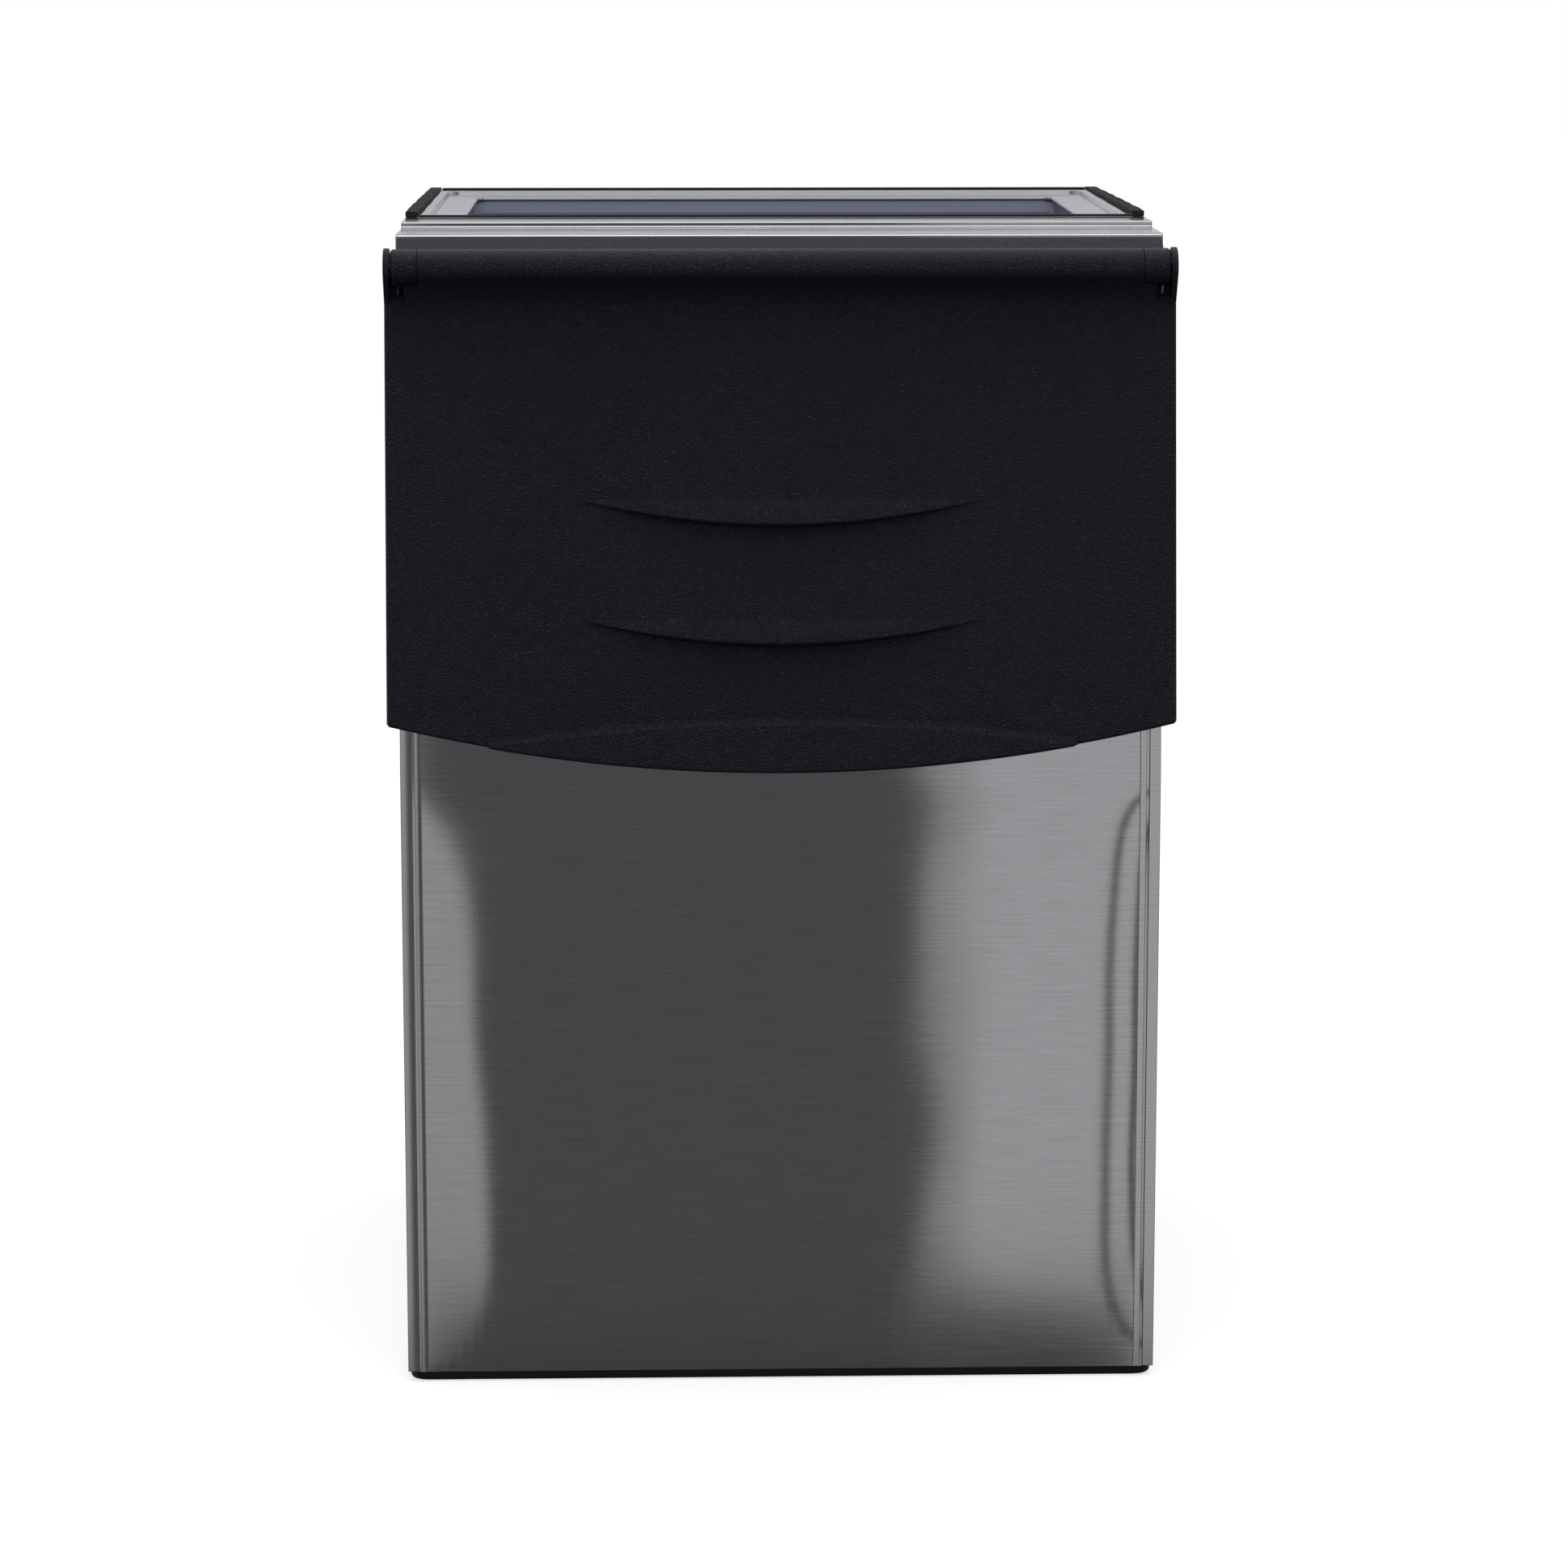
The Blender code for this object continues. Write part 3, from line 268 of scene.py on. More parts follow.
def spread(tree, value, low, high):
    # a 0 to 1 pattern brought to the range low to high
    return addNode(tree, "ShaderNodeMapRange", Value=value, To_Min=low, To_Max=high).outputs[0]


def smoothRange(tree, value, span, result):
    # goes smoothly from result's first number to its second while value crosses span
    ends = {"From_Min": span[0], "From_Max": span[1], "To_Min": result[0], "To_Max": result[1]}
    settings = {"interpolation_type": "SMOOTHSTEP"}
    return addNode(tree, "ShaderNodeMapRange", settings, Value=value, **ends).outputs[0]


def mixColours(tree, factor, first, second):
    node = addNode(tree, "ShaderNodeMix", {"data_type": "RGBA"}, Factor=factor)
    node.inputs[6].default_value = (*first, 1.0)
    node.inputs[7].default_value = (*second, 1.0)
    return node.outputs[2]


def newGroup(name, inputs, outputs):
    # an input without a number is a vector
    group = bpy.data.node_groups.new(name, "ShaderNodeTree")
    for title, value in inputs.items():
        kind = "NodeSocketVector" if value is None else "NodeSocketFloat"
        socket = group.interface.new_socket(title, in_out="INPUT", socket_type=kind)
        if value is not None:
            socket.default_value = value
    for title in outputs:
        group.interface.new_socket(title, in_out="OUTPUT", socket_type="NodeSocketFloat")
    return group, group.nodes.new("NodeGroupInput"), group.nodes.new("NodeGroupOutput")


def makeBrushGroup():
    # fine parallel scratches and broad cloudy marks of a brushed sheet
    inputs = {"Along": None, "Place": None, "Lines per metre": 900.0, "Cloud size": 7.0}
    group, given, out = newGroup("brushedGrain", inputs, ["Scratches", "Clouds"])
    stretch = vector(group, X=16.0, Y=given.outputs["Lines per metre"], Z=1.0)
    scaled = math2(group, "MULTIPLY", given.outputs["Along"], stretch, "ShaderNodeVectorMath")
    lines = {"Scale": 1.0, "Detail": 5.0, "Roughness": 0.7}
    scratches = addNode(group, "ShaderNodeTexNoise", Vector=scaled, **lines)
    marks = {"Scale": given.outputs["Cloud size"], "Detail": 3.0}
    clouds = addNode(group, "ShaderNodeTexNoise", Vector=given.outputs["Place"], **marks)
    group.links.new(scratches.outputs["Fac"], out.inputs["Scratches"])
    group.links.new(clouds.outputs["Fac"], out.inputs["Clouds"])
    return group


def makeGrainGroup():
    # pebbled grain of moulded plastic, with a finer tooth on top of it
    inputs = {"Place": None, "Pebbles per metre": 600.0, "Tooth": 0.35}
    group, given, out = newGroup("mouldedGrain", inputs, ["Height", "Clouds"])
    place = given.outputs["Place"]
    bend = addNode(group, "ShaderNodeTexNoise", Vector=place, Scale=260.0, Detail=2.0)
    far = {"Vector": bend.outputs["Color"], "Scale": 0.0022}
    nudge = addNode(group, "ShaderNodeVectorMath", {"operation": "SCALE"}, **far)
    bent = math2(group, "ADD", place, nudge.outputs[0], "ShaderNodeVectorMath")
    cells = {"Vector": bent, "Scale": given.outputs["Pebbles per metre"]}
    pebbles = addNode(group, "ShaderNodeTexVoronoi", {"feature": "DISTANCE_TO_EDGE"}, **cells)
    crowns = smoothRange(group, pebbles.outputs["Distance"], (0.0, 0.28), (0.0, 1.0))
    tooth = addNode(group, "ShaderNodeTexNoise", Vector=place, Scale=2600.0, Detail=2.0)
    fine = math2(group, "MULTIPLY", tooth.outputs["Fac"], given.outputs["Tooth"])
    clouds = addNode(group, "ShaderNodeTexNoise", Vector=place, Scale=4.0, Detail=4.0)
    group.links.new(math2(group, "ADD", crowns, fine), out.inputs["Height"])
    group.links.new(clouds.outputs["Fac"], out.inputs["Clouds"])
    return group


brushGroup = makeBrushGroup()
grainGroup = makeGrainGroup()


def brushedSteel(name, colour, roughness, lines=480.0, relief=0.06, shade=0.58):
    material, tree, shader, place = newMaterial(name)
    brush = addNode(tree, "ShaderNodeUVMap", {"uv_map": "brush"})
    given = {"Along": brush.outputs[0], "Place": place, "Lines_per_metre": lines}
    grain = addNode(tree, "ShaderNodeGroup", {"node_tree": brushGroup}, **given)
    scratches = grain.outputs["Scratches"]
    fine = spread(tree, scratches, -0.015, 0.015)
    both = math2(tree, "ADD", fine, spread(tree, grain.outputs["Clouds"], -0.01, 0.01))
    bump = addNode(tree, "ShaderNodeBump", Strength=relief, Distance=0.0002, Height=scratches)
    along = addNode(tree, "ShaderNodeTangent", {"direction_type": "UV_MAP", "uv_map": "brush"})
    feed(
        tree,
        shader,
        Base_Color=mixColours(tree, scratches, tuple(shade * c for c in colour), colour),
        Roughness=math2(tree, "ADD", both, roughness),
        Normal=bump.outputs[0],
        Tangent=along.outputs[0],
        Metallic=1.0,
        Anisotropic=1.0,
        Anisotropic_Rotation=0.25,
    )
    return material


def mouldedPlastic(name, colour, roughness, pebbles, tooth, relief, shadeAndToneShift, depth=0.0004):
    material, tree, shader, place = newMaterial(name)
    given = {"Place": place, "Pebbles_per_metre": pebbles, "Tooth": tooth}
    grain = addNode(tree, "ShaderNodeGroup", {"node_tree": grainGroup}, **given)
    height, clouds = grain.outputs["Height"], grain.outputs["Clouds"]
    # painted shade and light: the grain's hollows are darkened and its crowns lightened in the colour,
    # mixed with random cloudy tone
    dark = tuple(c * (1 - shadeAndToneShift) for c in colour)
    light = tuple(c * (1 + shadeAndToneShift) for c in colour)
    grainShadeAndCloudHalves = [math2(tree, "MULTIPLY", pattern, 0.5) for pattern in (height, clouds)]
    tone = math2(tree, "ADD", *grainShadeAndCloudHalves)
    bump = addNode(tree, "ShaderNodeBump", Strength=relief, Distance=depth, Height=height)
    feed(
        tree,
        shader,
        Base_Color=mixColours(tree, tone, dark, light),
        Roughness=spread(tree, clouds, roughness - 0.05, roughness + 0.05),
        Normal=bump.outputs[0],
    )
    return material


def plainSteel(name, colour, roughness):
    # turned or pressed hardware: soft mottling, no brushed direction
    material, tree, shader, place = newMaterial(name)
    mottle = addNode(tree, "ShaderNodeTexNoise", Vector=place, Scale=180.0, Detail=4.0).outputs["Fac"]
    feed(
        tree,
        shader,
        Base_Color=mixColours(tree, mottle, tuple(0.8 * c for c in colour), colour),
        Roughness=spread(tree, mottle, roughness - 0.08, roughness + 0.1),
        Metallic=1.0,
    )
    return material


def spangledSheet(name, colour, roughness):
    # galvanised sheet: large crystals that each catch the light a little differently
    material, tree, shader, place = newMaterial(name)
    crystals = addNode(tree, "ShaderNodeTexVoronoi", Vector=place, Scale=95.0)
    tone = addNode(tree, "ShaderNodeSeparateColor", Color=crystals.outputs["Color"])
    feed(
        tree,
        shader,
        Base_Color=mixColours(tree, tone.outputs[0], tuple(0.72 * c for c in colour), colour),
        Roughness=spread(tree, tone.outputs[1], roughness - 0.09, roughness + 0.12),
        Metallic=1.0,
    )
    return material


steel = brushedSteel("brushedStainless", (0.66, 0.655, 0.685), 0.085)
satin = brushedSteel("satinStainless", (0.60, 0.595, 0.625), 0.34, relief=0.01, shade=0.92)
galvanised = spangledSheet("galvanisedSheet", (0.52, 0.53, 0.54), 0.42)
zinced = plainSteel("zincedSteel", (0.55, 0.55, 0.56), 0.32)
finishes = {
    "steel": {"slot": "stainless_sheet", "material": steel, "brushed": True},
    "satin": {"slot": "stainless_sheet", "material": satin, "brushed": True},
    "galvanised": {"slot": "galvanised_sheet", "material": galvanised},
    "hardware": {"slot": "fastener_steel", "material": zinced},
}
doorBlack = (0.0036, 0.0048, 0.0135)
# the door's grain carries strong painted shade in its hollows and painted light on its crowns
doorGrain = {"pebbles": 430.0, "tooth": 0.35, "relief": 1.0, "shadeAndToneShift": 0.75, "depth": 0.0007}
doorPlastic = mouldedPlastic("blackDoorPlastic", doorBlack, 0.36, **doorGrain)
finishes["black"] = {"slot": "black_plastic", "material": doorPlastic}
# finish, slot, material, colour, roughness, pebbles per metre, tooth, relief, shift of tone and of
# painted shade in the grain
for finish, slot, *look in (
    ("base", "base_plastic", "basePlastic", (0.008, 0.008, 0.009), 0.58, 900.0, 0.35, 0.12, 0.12),
    ("liner", "liner_plastic", "linerPlastic", (0.150, 0.162, 0.235), 0.34, 260.0, 0.1, 0.05, 0.05),
    ("grey", "grey_plastic", "greyPlastic", (0.26, 0.27, 0.30), 0.42, 900.0, 0.35, 0.10, 0.05),
    ("drain", "drain_plastic", "drainPlastic", (0.30, 0.31, 0.33), 0.40, 1400.0, 0.35, 0.06, 0.05),
    ("white", "white_plastic", "whitePlastic", (0.70, 0.71, 0.72), 0.38, 700.0, 0.35, 0.06, 0.03),
    ("foamTape", "foam_rubber", "blackFoamTape", (0.016, 0.016, 0.017), 0.85, 1500.0, 0.9, 0.6, 0.12),
    ("vinyl", "black_vinyl", "blackVinyl", (0.012, 0.012, 0.013), 0.40, 1200.0, 0.35, 0.08, 0.12),
    ("foam", "insulation_foam", "pouredFoam", (0.66, 0.55, 0.30), 0.92, 700.0, 0.8, 0.7, 0.12),
):
    finishes[finish] = {"slot": slot, "material": mouldedPlastic(*look)}
print("finishes made:", len(finishes))


def softPiece(name, node, finishName, width, segments=3, angle=34, body="cabinet"):
    # one of the frame's solids with rounded edges, finished in its place
    finishPiece(softened(name, node, width, segments, angle), finishName, body, [node])


# Geometry Nodes: hardware that repeats, and seals that follow a path


def nodeTree(name, numbers):
    tree = bpy.data.node_groups.new(name, "GeometryNodeTree")
    tree.interface.new_socket("Geometry", in_out="INPUT", socket_type="NodeSocketGeometry")
    for title in numbers:
        tree.interface.new_socket(title, in_out="INPUT", socket_type="NodeSocketFloat")
    tree.interface.new_socket("Finish", in_out="INPUT", socket_type="NodeSocketMaterial")
    tree.interface.new_socket("Geometry", in_out="OUTPUT", socket_type="NodeSocketGeometry")
    return tree, tree.nodes.new("NodeGroupInput"), tree.nodes.new("NodeGroupOutput")


def endTree(tree, given, out, geometry, instances=True):
    if instances:
        geometry = addNode(tree, "GeometryNodeRealizeInstances", Geometry=geometry).outputs[0]
    paint = given.outputs["Finish"]
    painted = addNode(tree, "GeometryNodeSetMaterial", Geometry=geometry, Material=paint)
    tree.links.new(painted.outputs[0], out.inputs[0])


def runTree(piece, tree, finishName, numbers):
    modifier = piece.modifiers.new(tree.name, "NODES")
    modifier.node_group = tree
    sockets = {s.name: s.identifier for s in tree.interface.items_tree if s.in_out == "INPUT"}
    for title, value in numbers.items():
        modifier[sockets[title]] = value
    modifier[sockets["Finish"]] = finishes[finishName]["material"]
    settle(piece)


def moved(tree, geometry, **inputs):
    return addNode(tree, "GeometryNodeTransform", Geometry=geometry, **inputs).outputs[0]


def cutAway(tree, mesh, *cutters):
    exact = {"operation": "DIFFERENCE", "solver": "EXACT"}
    cut = addNode(tree, "GeometryNodeMeshBoolean", exact, Mesh_1=mesh)
    for cutter in cutters:
        tree.links.new(cutter, cut.inputs["Mesh 2"])
    return cut.outputs[0]


def joined(tree, *parts):
    both = addNode(tree, "GeometryNodeJoinGeometry")
    for part in parts:
        tree.links.new(part, both.inputs[0])
    return both.outputs[0]


def onPoints(tree, points, thing, **inputs):
    kind = "GeometryNodeInstanceOnPoints"
    return addNode(tree, kind, Points=points, Instance=thing, **inputs).outputs[0]


def makeScrewTree():
    # a domed head with a cross recess and its shank, on every point; Turn lays it over about X
    sizes = ["Head radius", "Head height", "Shank radius", "Shank length", "Turn"]
    tree, given, out = nodeTree("crossScrews", sizes)
    headRadius, headHeight, shankRadius, shankLength, turn = (given.outputs[size] for size in sizes)
    ball = addNode(tree, "GeometryNodeMeshUVSphere", Segments=28, Rings=14, Radius=1.0)
    dome = moved(tree, ball.outputs[0], Scale=vector(tree, X=headRadius, Y=headRadius, Z=headHeight))
    below = addNode(tree, "GeometryNodeMeshCube", Size=(1.0, 1.0, 1.0))
    cutters = [moved(tree, below.outputs[0], Translation=(0.0, 0.0, -0.5))]
    slotWide = math2(tree, "MULTIPLY", headRadius, 1.15)
    slotThin = math2(tree, "MULTIPLY", headRadius, 0.24)
    slotDeep = math2(tree, "MULTIPLY", headHeight, 1.1)
    for wide, thin in ((slotWide, slotThin), (slotThin, slotWide)):
        bar = addNode(tree, "GeometryNodeMeshCube", Size=vector(tree, X=wide, Y=thin, Z=slotDeep))
        cutters.append(moved(tree, bar.outputs[0], Translation=vector(tree, Z=headHeight)))
    round20 = {"Vertices": 20, "Radius": shankRadius, "Depth": shankLength}
    shank = addNode(tree, "GeometryNodeMeshCylinder", {"fill_type": "NGON"}, **round20)
    sink = math2(tree, "ADD", math2(tree, "MULTIPLY", shankLength, -0.5), 0.0002)
    sunk = moved(tree, shank.outputs[0], Translation=vector(tree, Z=sink))
    screw = joined(tree, sunk, cutAway(tree, dome, *cutters))
    screws = onPoints(tree, given.outputs["Geometry"], screw, Rotation=vector(tree, X=turn))
    endTree(tree, given, out, screws)
    return tree


def makeBushTree():
    # a bored bush on every point; each thread is a thin ring inside the bore
    sizes = ["Radius", "Height", "Bore radius"]
    tree, given, out = nodeTree("legBushes", sizes)
    radius, height, boreRadius = (given.outputs[size] for size in sizes)
    solid = addNode(tree, "GeometryNodeMeshCylinder", Vertices=48, Radius=radius, Depth=height)
    bore = addNode(tree, "GeometryNodeMeshCylinder", Vertices=40, Radius=boreRadius, Depth=1.0)
    bush = cutAway(tree, solid.outputs[0], bore.outputs[0])
    circle = "GeometryNodeCurvePrimitiveCircle"
    path = addNode(tree, circle, Resolution=40, Radius=math2(tree, "MULTIPLY", boreRadius, 0.99))
    wire = addNode(tree, circle, Resolution=5, Radius=0.00035).outputs[0]
    ring = addNode(tree, "GeometryNodeCurveToMesh", Curve=path.outputs[0], Profile_Curve=wire)
    low, high = (vector(tree, Z=math2(tree, "MULTIPLY", height, share)) for share in (-0.42, 0.42))
    ends = {"Count": 6, "Start_Location": low, "Offset": high}
    ladder = addNode(tree, "GeometryNodeMeshLine", {"mode": "END_POINTS"}, **ends)
    threads = onPoints(tree, ladder.outputs[0], ring.outputs[0])
    endTree(tree, given, out, onPoints(tree, given.outputs["Geometry"], joined(tree, threads, bush)))
    return tree


def makeSealTree():
    # a flat foot with two bulbs on it, swept round a closed path
    sizes = ["Foot width", "Foot depth", "Bulb radius", "Bulb lift"]
    tree, given, out = nodeTree("sweptSeal", sizes)
    footWidth, footDepth, bulbRadius, bulbLift = (given.outputs[size] for size in sizes)
    path = addNode(tree, "GeometryNodeMeshToCurve", Mesh=given.outputs["Geometry"]).outputs[0]
    oblong = "GeometryNodeCurvePrimitiveQuadrilateral"
    foot = addNode(tree, oblong, Width=footDepth, Height=footWidth).outputs[0]
    bulb = addNode(tree, "GeometryNodeCurvePrimitiveCircle", Resolution=16, Radius=bulbRadius)
    profiles = []
    for share in (-0.24, 0.24):
        step = vector(tree, X=bulbLift, Y=math2(tree, "MULTIPLY", footWidth, share))
        profiles.append(moved(tree, bulb.outputs[0], Translation=step))
    sweeps = []
    for profile in (*profiles, foot):
        sweep = addNode(tree, "GeometryNodeCurveToMesh", Curve=path, Profile_Curve=profile)
        sweeps.append(sweep.outputs[0])
    endTree(tree, given, out, joined(tree, *sweeps), instances=False)
    return tree


screwTree = makeScrewTree()
bushTree = makeBushTree()


def screwRow(name, body, places, turn, sizes, nodes):
    piece = meshPiece(name, places, [])
    runTree(piece, screwTree, "hardware", {**sizes, "Turn": radians(turn)})
    finishPiece(piece, "hardware", body, nodes, sharp=30)


def centreOf(node):
    low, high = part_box(node)
    return (low + high) / 2


# Cabinet shell

panelLow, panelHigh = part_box("front_panel")
frontSheet = {
    "halfWidth": panelHigh.x,
    "lowZ": panelLow.z,
    "highZ": panelHigh.z,
    "bulge": 0.0040,  # how far the foam pushes the sheet out
    "edgePower": 8,  # the sheet stays flat in the middle and falls off at its sides
    "fullAt": 0.10,  # share of the height over which the bulge swells from the base
    "fall": (0.62, 0.12),  # how early it dies away up to the knee, at the left and at the right
    "kneeFade": 0.045,
    "wave": 0.00006,  # slow waviness of the thin sheet
    "pucker": 0.000025,  # fine upright ripples just above the base fold
    "kneeRise": 0.006,  # height over which the fold is rolled
    "throat": {"halfWidth": 0.3213, "lowZ": 0.7317, "highZ": 1.0883, "radius": 0.0233},
    "columns": 230,
    "rows": 110,
}


def sheetBulge(x, z):
    # fullest low down, nothing at the base, the knee and the seams
    s = frontSheet
    up = (z - s["lowZ"]) / (cabinet["kneeZ"] - s["lowZ"])
    if not 0.0 < up < 1.0:
        return 0.0
    left, right = s["fall"]
    fall = left + (right - left) * (0.5 + 0.5 * x / s["halfWidth"])
    rise = (1.0 - exp(-up / s["fullAt"])) * (1.0 - up) ** fall
    rise *= 1.0 - exp((up - 1.0) / s["kneeFade"])
    across = 1.0 - abs(x / s["halfWidth"]) ** s["edgePower"]
    wave = sin(23 * x + 9 * z + 1.1) + 0.8 * sin(31 * x - 17 * z)
    wave += 0.6 * sin(14 * x + 37 * z + 0.6)
    fade = min(1.0, up / 0.03, (1.0 - up) / 0.05)
    pucker = sin(390 * x + 5 * sin(41 * x)) * exp(-up / 0.05) * min(1.0, up / 0.008)
    return across * (s["bulge"] * rise + s["wave"] * fade * wave + s["pucker"] * pucker)


def eased(count, low, high, hug=0.5):
    # places from low to high, closer together near both ends
    places = []
    for i in range(count + 1):
        t = i / count
        share = (1 - hug) * t + hug * (0.5 - 0.5 * cos(pi * t))
        places.append(low + (high - low) * share)
    return places


def roundedBox(half, low, high, radius, steps=8):
    inX, lowIn, highIn = half - radius, low + radius, high - radius
    centres = ((inX, highIn), (-inX, highIn), (-inX, lowIn), (inX, lowIn))
    outline = []
    for quarter, centre in enumerate(centres):
        outline += arc(centre, radius, 90 * quarter, 90 * quarter + 90, steps)
    return outline


def makeFrontSheet():
    s = frontSheet
    kneeRise = s["kneeRise"]
    xs = eased(s["columns"], -s["halfWidth"], s["halfWidth"], 0.8)
    zs = eased(s["rows"], s["lowZ"], cabinet["kneeZ"] - kneeRise, 0.7)
    zs += [cabinet["kneeZ"] + kneeRise * t for t in (-0.5, 0.0, 0.5, 1.0)]
    zs += eased(24, cabinet["kneeZ"] + 0.02, s["highZ"], 0.0)
    verts = [(x, frontAt(z) - sheetBulge(x, z), z) for z in zs for x in xs]
    wide = len(xs)
    starts = [r * wide + c for r in range(len(zs) - 1) for c in range(wide - 1)]
    faces = [(start, start + 1, start + wide + 1, start + wide) for start in starts]
    sheet = meshPiece("front_sheet", verts, faces)
    thick = sheet.modifiers.new("thickness", "SOLIDIFY")
    thick.thickness = cabinet["sheet"]
    thick.offset = -1.0
    settle(sheet)
    hole = s["throat"]
    outline = roundedBox(hole["halfWidth"], hole["lowZ"], hole["highZ"], hole["radius"])
    near = [(x, frontAt(z) - 0.02, z) for x, z in outline]
    far = [(x, frontAt(z) + 0.02, z) for x, z in outline]
    carve(sheet, loftPiece("throatCutter", [near, far]))
    finishPiece(sheet, "steel", "cabinet", ["front_panel"], sharp=25)


makeFrontSheet()

sidePan = {"edge": 0.0016, "seamEdge": 0.0006, "leastAngle": 60}
for side in sides:
    pan = (f"side_pan_{side}", f"side_panel_{side}")
    bead = (f"seam_bead_{side}", f"seam_strip_{side}")
    softPiece(*pan, "steel", sidePan["edge"], angle=sidePan["leastAngle"])
    softPiece(*bead, "steel", sidePan["seamEdge"])

topStrip = {
    "lip": 0.0045,
    "bend": 0.003,
    "backY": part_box("top_front_strip")[1].y,
    "skirtZ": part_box("top_front_strip")[0].z,
    "endEdge": 0.0012,
}


def makeTopStrip():
    # side view: skirt, rolled front lip, strip, soft step, rim
    t = topStrip
    front, step = cabinet["topFrontY"], cabinet["stepY"]
    low, high = cabinet["stripZ"], cabinet["rimZ"]
    lip, bend = t["lip"], t["bend"]
    outline = [(front, t["skirtZ"])]
    outline += arc((front + lip, low - lip), lip, 180, 90, 12)
    outline += arc((step - bend, low + bend), bend, 270, 360, 8)
    outline += arc((step + bend, high - bend), bend, 180, 90, 8)
    outline += [(t["backY"], high), (t["backY"], t["skirtZ"])]
    half = cabinet["halfWidth"]
    strip = barAlongX("top_strip", outline, -half, half)
    roundEdges(strip, t["endEdge"], 3, 60)
    finishPiece(strip, "steel", "cabinet", ["top_front_strip"])


makeTopStrip()

rimLow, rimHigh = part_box("top_frame")
mouthFrame = {
    "front": rimLow.y,
    "back": rimHigh.y,
    "half": rimHigh.x,
    "cornerSteps": 10,
    "lowZ": 1.1615,
}


def makeMouthFrame():
    # each ring's half width, front, back, corner radius and height,
    # from the outer edge over the ledge and back underneath
    m = mouthFrame
    top = cabinet["rimZ"]
    front, back = m["front"], m["back"]
    rings = [
        (m["half"], front, back, 0.0030, top),
        (0.3600, front + 0.0050, back - 0.0090, 0.020, top),
        (0.3592, front + 0.0058, back - 0.0098, 0.0194, top - 0.0006),
        (0.3582, front + 0.0068, back - 0.0108, 0.0186, top - 0.0040),
        (0.3570, front + 0.0080, back - 0.0120, 0.0178, top - 0.0052),
        (0.3275, -0.1075, 0.3670, 0.0125, top - 0.0068),
        (0.3257, -0.1057, 0.3655, 0.0107, top - 0.0073),
        (0.3250, -0.1050, 0.3648, 0.010, top - 0.0082),
        (0.3250, -0.1050, 0.3648, 0.010, m["lowZ"]),
        (0.3262, -0.1062, 0.3660, 0.011, m["lowZ"]),
        (0.3265, -0.1065, 0.3663, 0.011, top - 0.0084),
        (0.3585, front + 0.0065, back - 0.0105, 0.018, top - 0.0066),
        (0.3615, front + 0.0035, back - 0.0075, 0.020, top - cabinet["sheet"]),
        (m["half"], front, back, 0.0030, top - cabinet["sheet"]),
    ]
    return closedRings("mouth_frame", rings, m["cornerSteps"])


def closedRings(name, rings, steps):
    # a skin through level rings, the last joined to the first
    verts = []
    for half, low, high, radius, z in rings:
        outline = roundedBox(half, low, high, radius, steps)
        verts += [(x, y, z) for x, y in outline]
    count = len(outline)
    faces = []
    for level in range(len(rings)):
        faces += band(level * count, (level + 1) % len(rings) * count, count)
    piece = meshPiece(name, verts, faces)
    turnOutwards(piece)
    return piece


finishPiece(makeMouthFrame(), "satin", "cabinet", ["top_frame"], sharp=40)
softPiece("back_sheet", "back_panel", "galvanised", 0.0005, 2)
softPiece("drain_cover", "drain_plate", "galvanised", 0.0005, 2)
softPiece("base_skid", "base_tray", "base", 0.0008, 2)
print("cabinet shell made")

# Mouth, store and access opening

linerLip = {
    "foot": (0.3300, -0.1100, 0.3510, 0.012, 1.1470),  # half width, front, back, corner radius, height
    "head": (0.3300, -0.1100, 0.3685, 0.012, 1.1620),
    "wall": 0.003,
}


def makeLiner():
    # the tub, with its lip carried up to the underside of the ledge
    lip = linerLip
    wall = lip["wall"]
    rings = [lip["foot"], lip["head"]]
    for half, front, back, radius, z in (lip["head"], lip["foot"]):
        rings.append((half + wall, front - wall, back + wall, radius + wall, z))
    tub = softened("linerTub", "liner")
    liner = joinPieces("store_liner", [tub, closedRings("linerLip", rings, 10)])
    finishPiece(liner, "liner", "cabinet", ["liner"], sharp=38)


makeLiner()
softPiece("throat_surround", "throat_frame", "grey", 0.0007)

sideTape = {"stations": 60, "raggedness": 0.0011, "sag": 0.0032, "unevenness": 0.0003, "edge": 0.0010}


def makeSideTape(name, sign):
    # cut by hand, so its inner edge wanders a little, and pressed thinner towards the back
    t = sideTape
    low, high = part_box(f"head_gasket_{name}")
    inner, outer = (sign * x for x in sorted((abs(low.x), abs(high.x))))
    rings = []
    for i in range(t["stations"] + 1):
        share = i / t["stations"]
        y = low.y + (high.y - low.y) * share
        ragged = 0.5 + 0.3 * sin(39 * y + sign) + 0.2 * sin(113 * y + 2.0 * sign)
        wander = t["raggedness"] * ragged
        top = high.z - t["sag"] * share**1.5 + t["unevenness"] * sin(71 * y)
        near = outer - sign * 0.6 * wander
        far = inner + sign * wander
        rings.append([(near, y, low.z), (far, y, low.z), (far, y, top), (near, y, top)])
    tape = loftPiece(f"head_tape_{name}", rings)
    roundEdges(tape, t["edge"], 2, 50)
    finishPiece(tape, "foamTape", "cabinet", [f"head_gasket_{name}"])


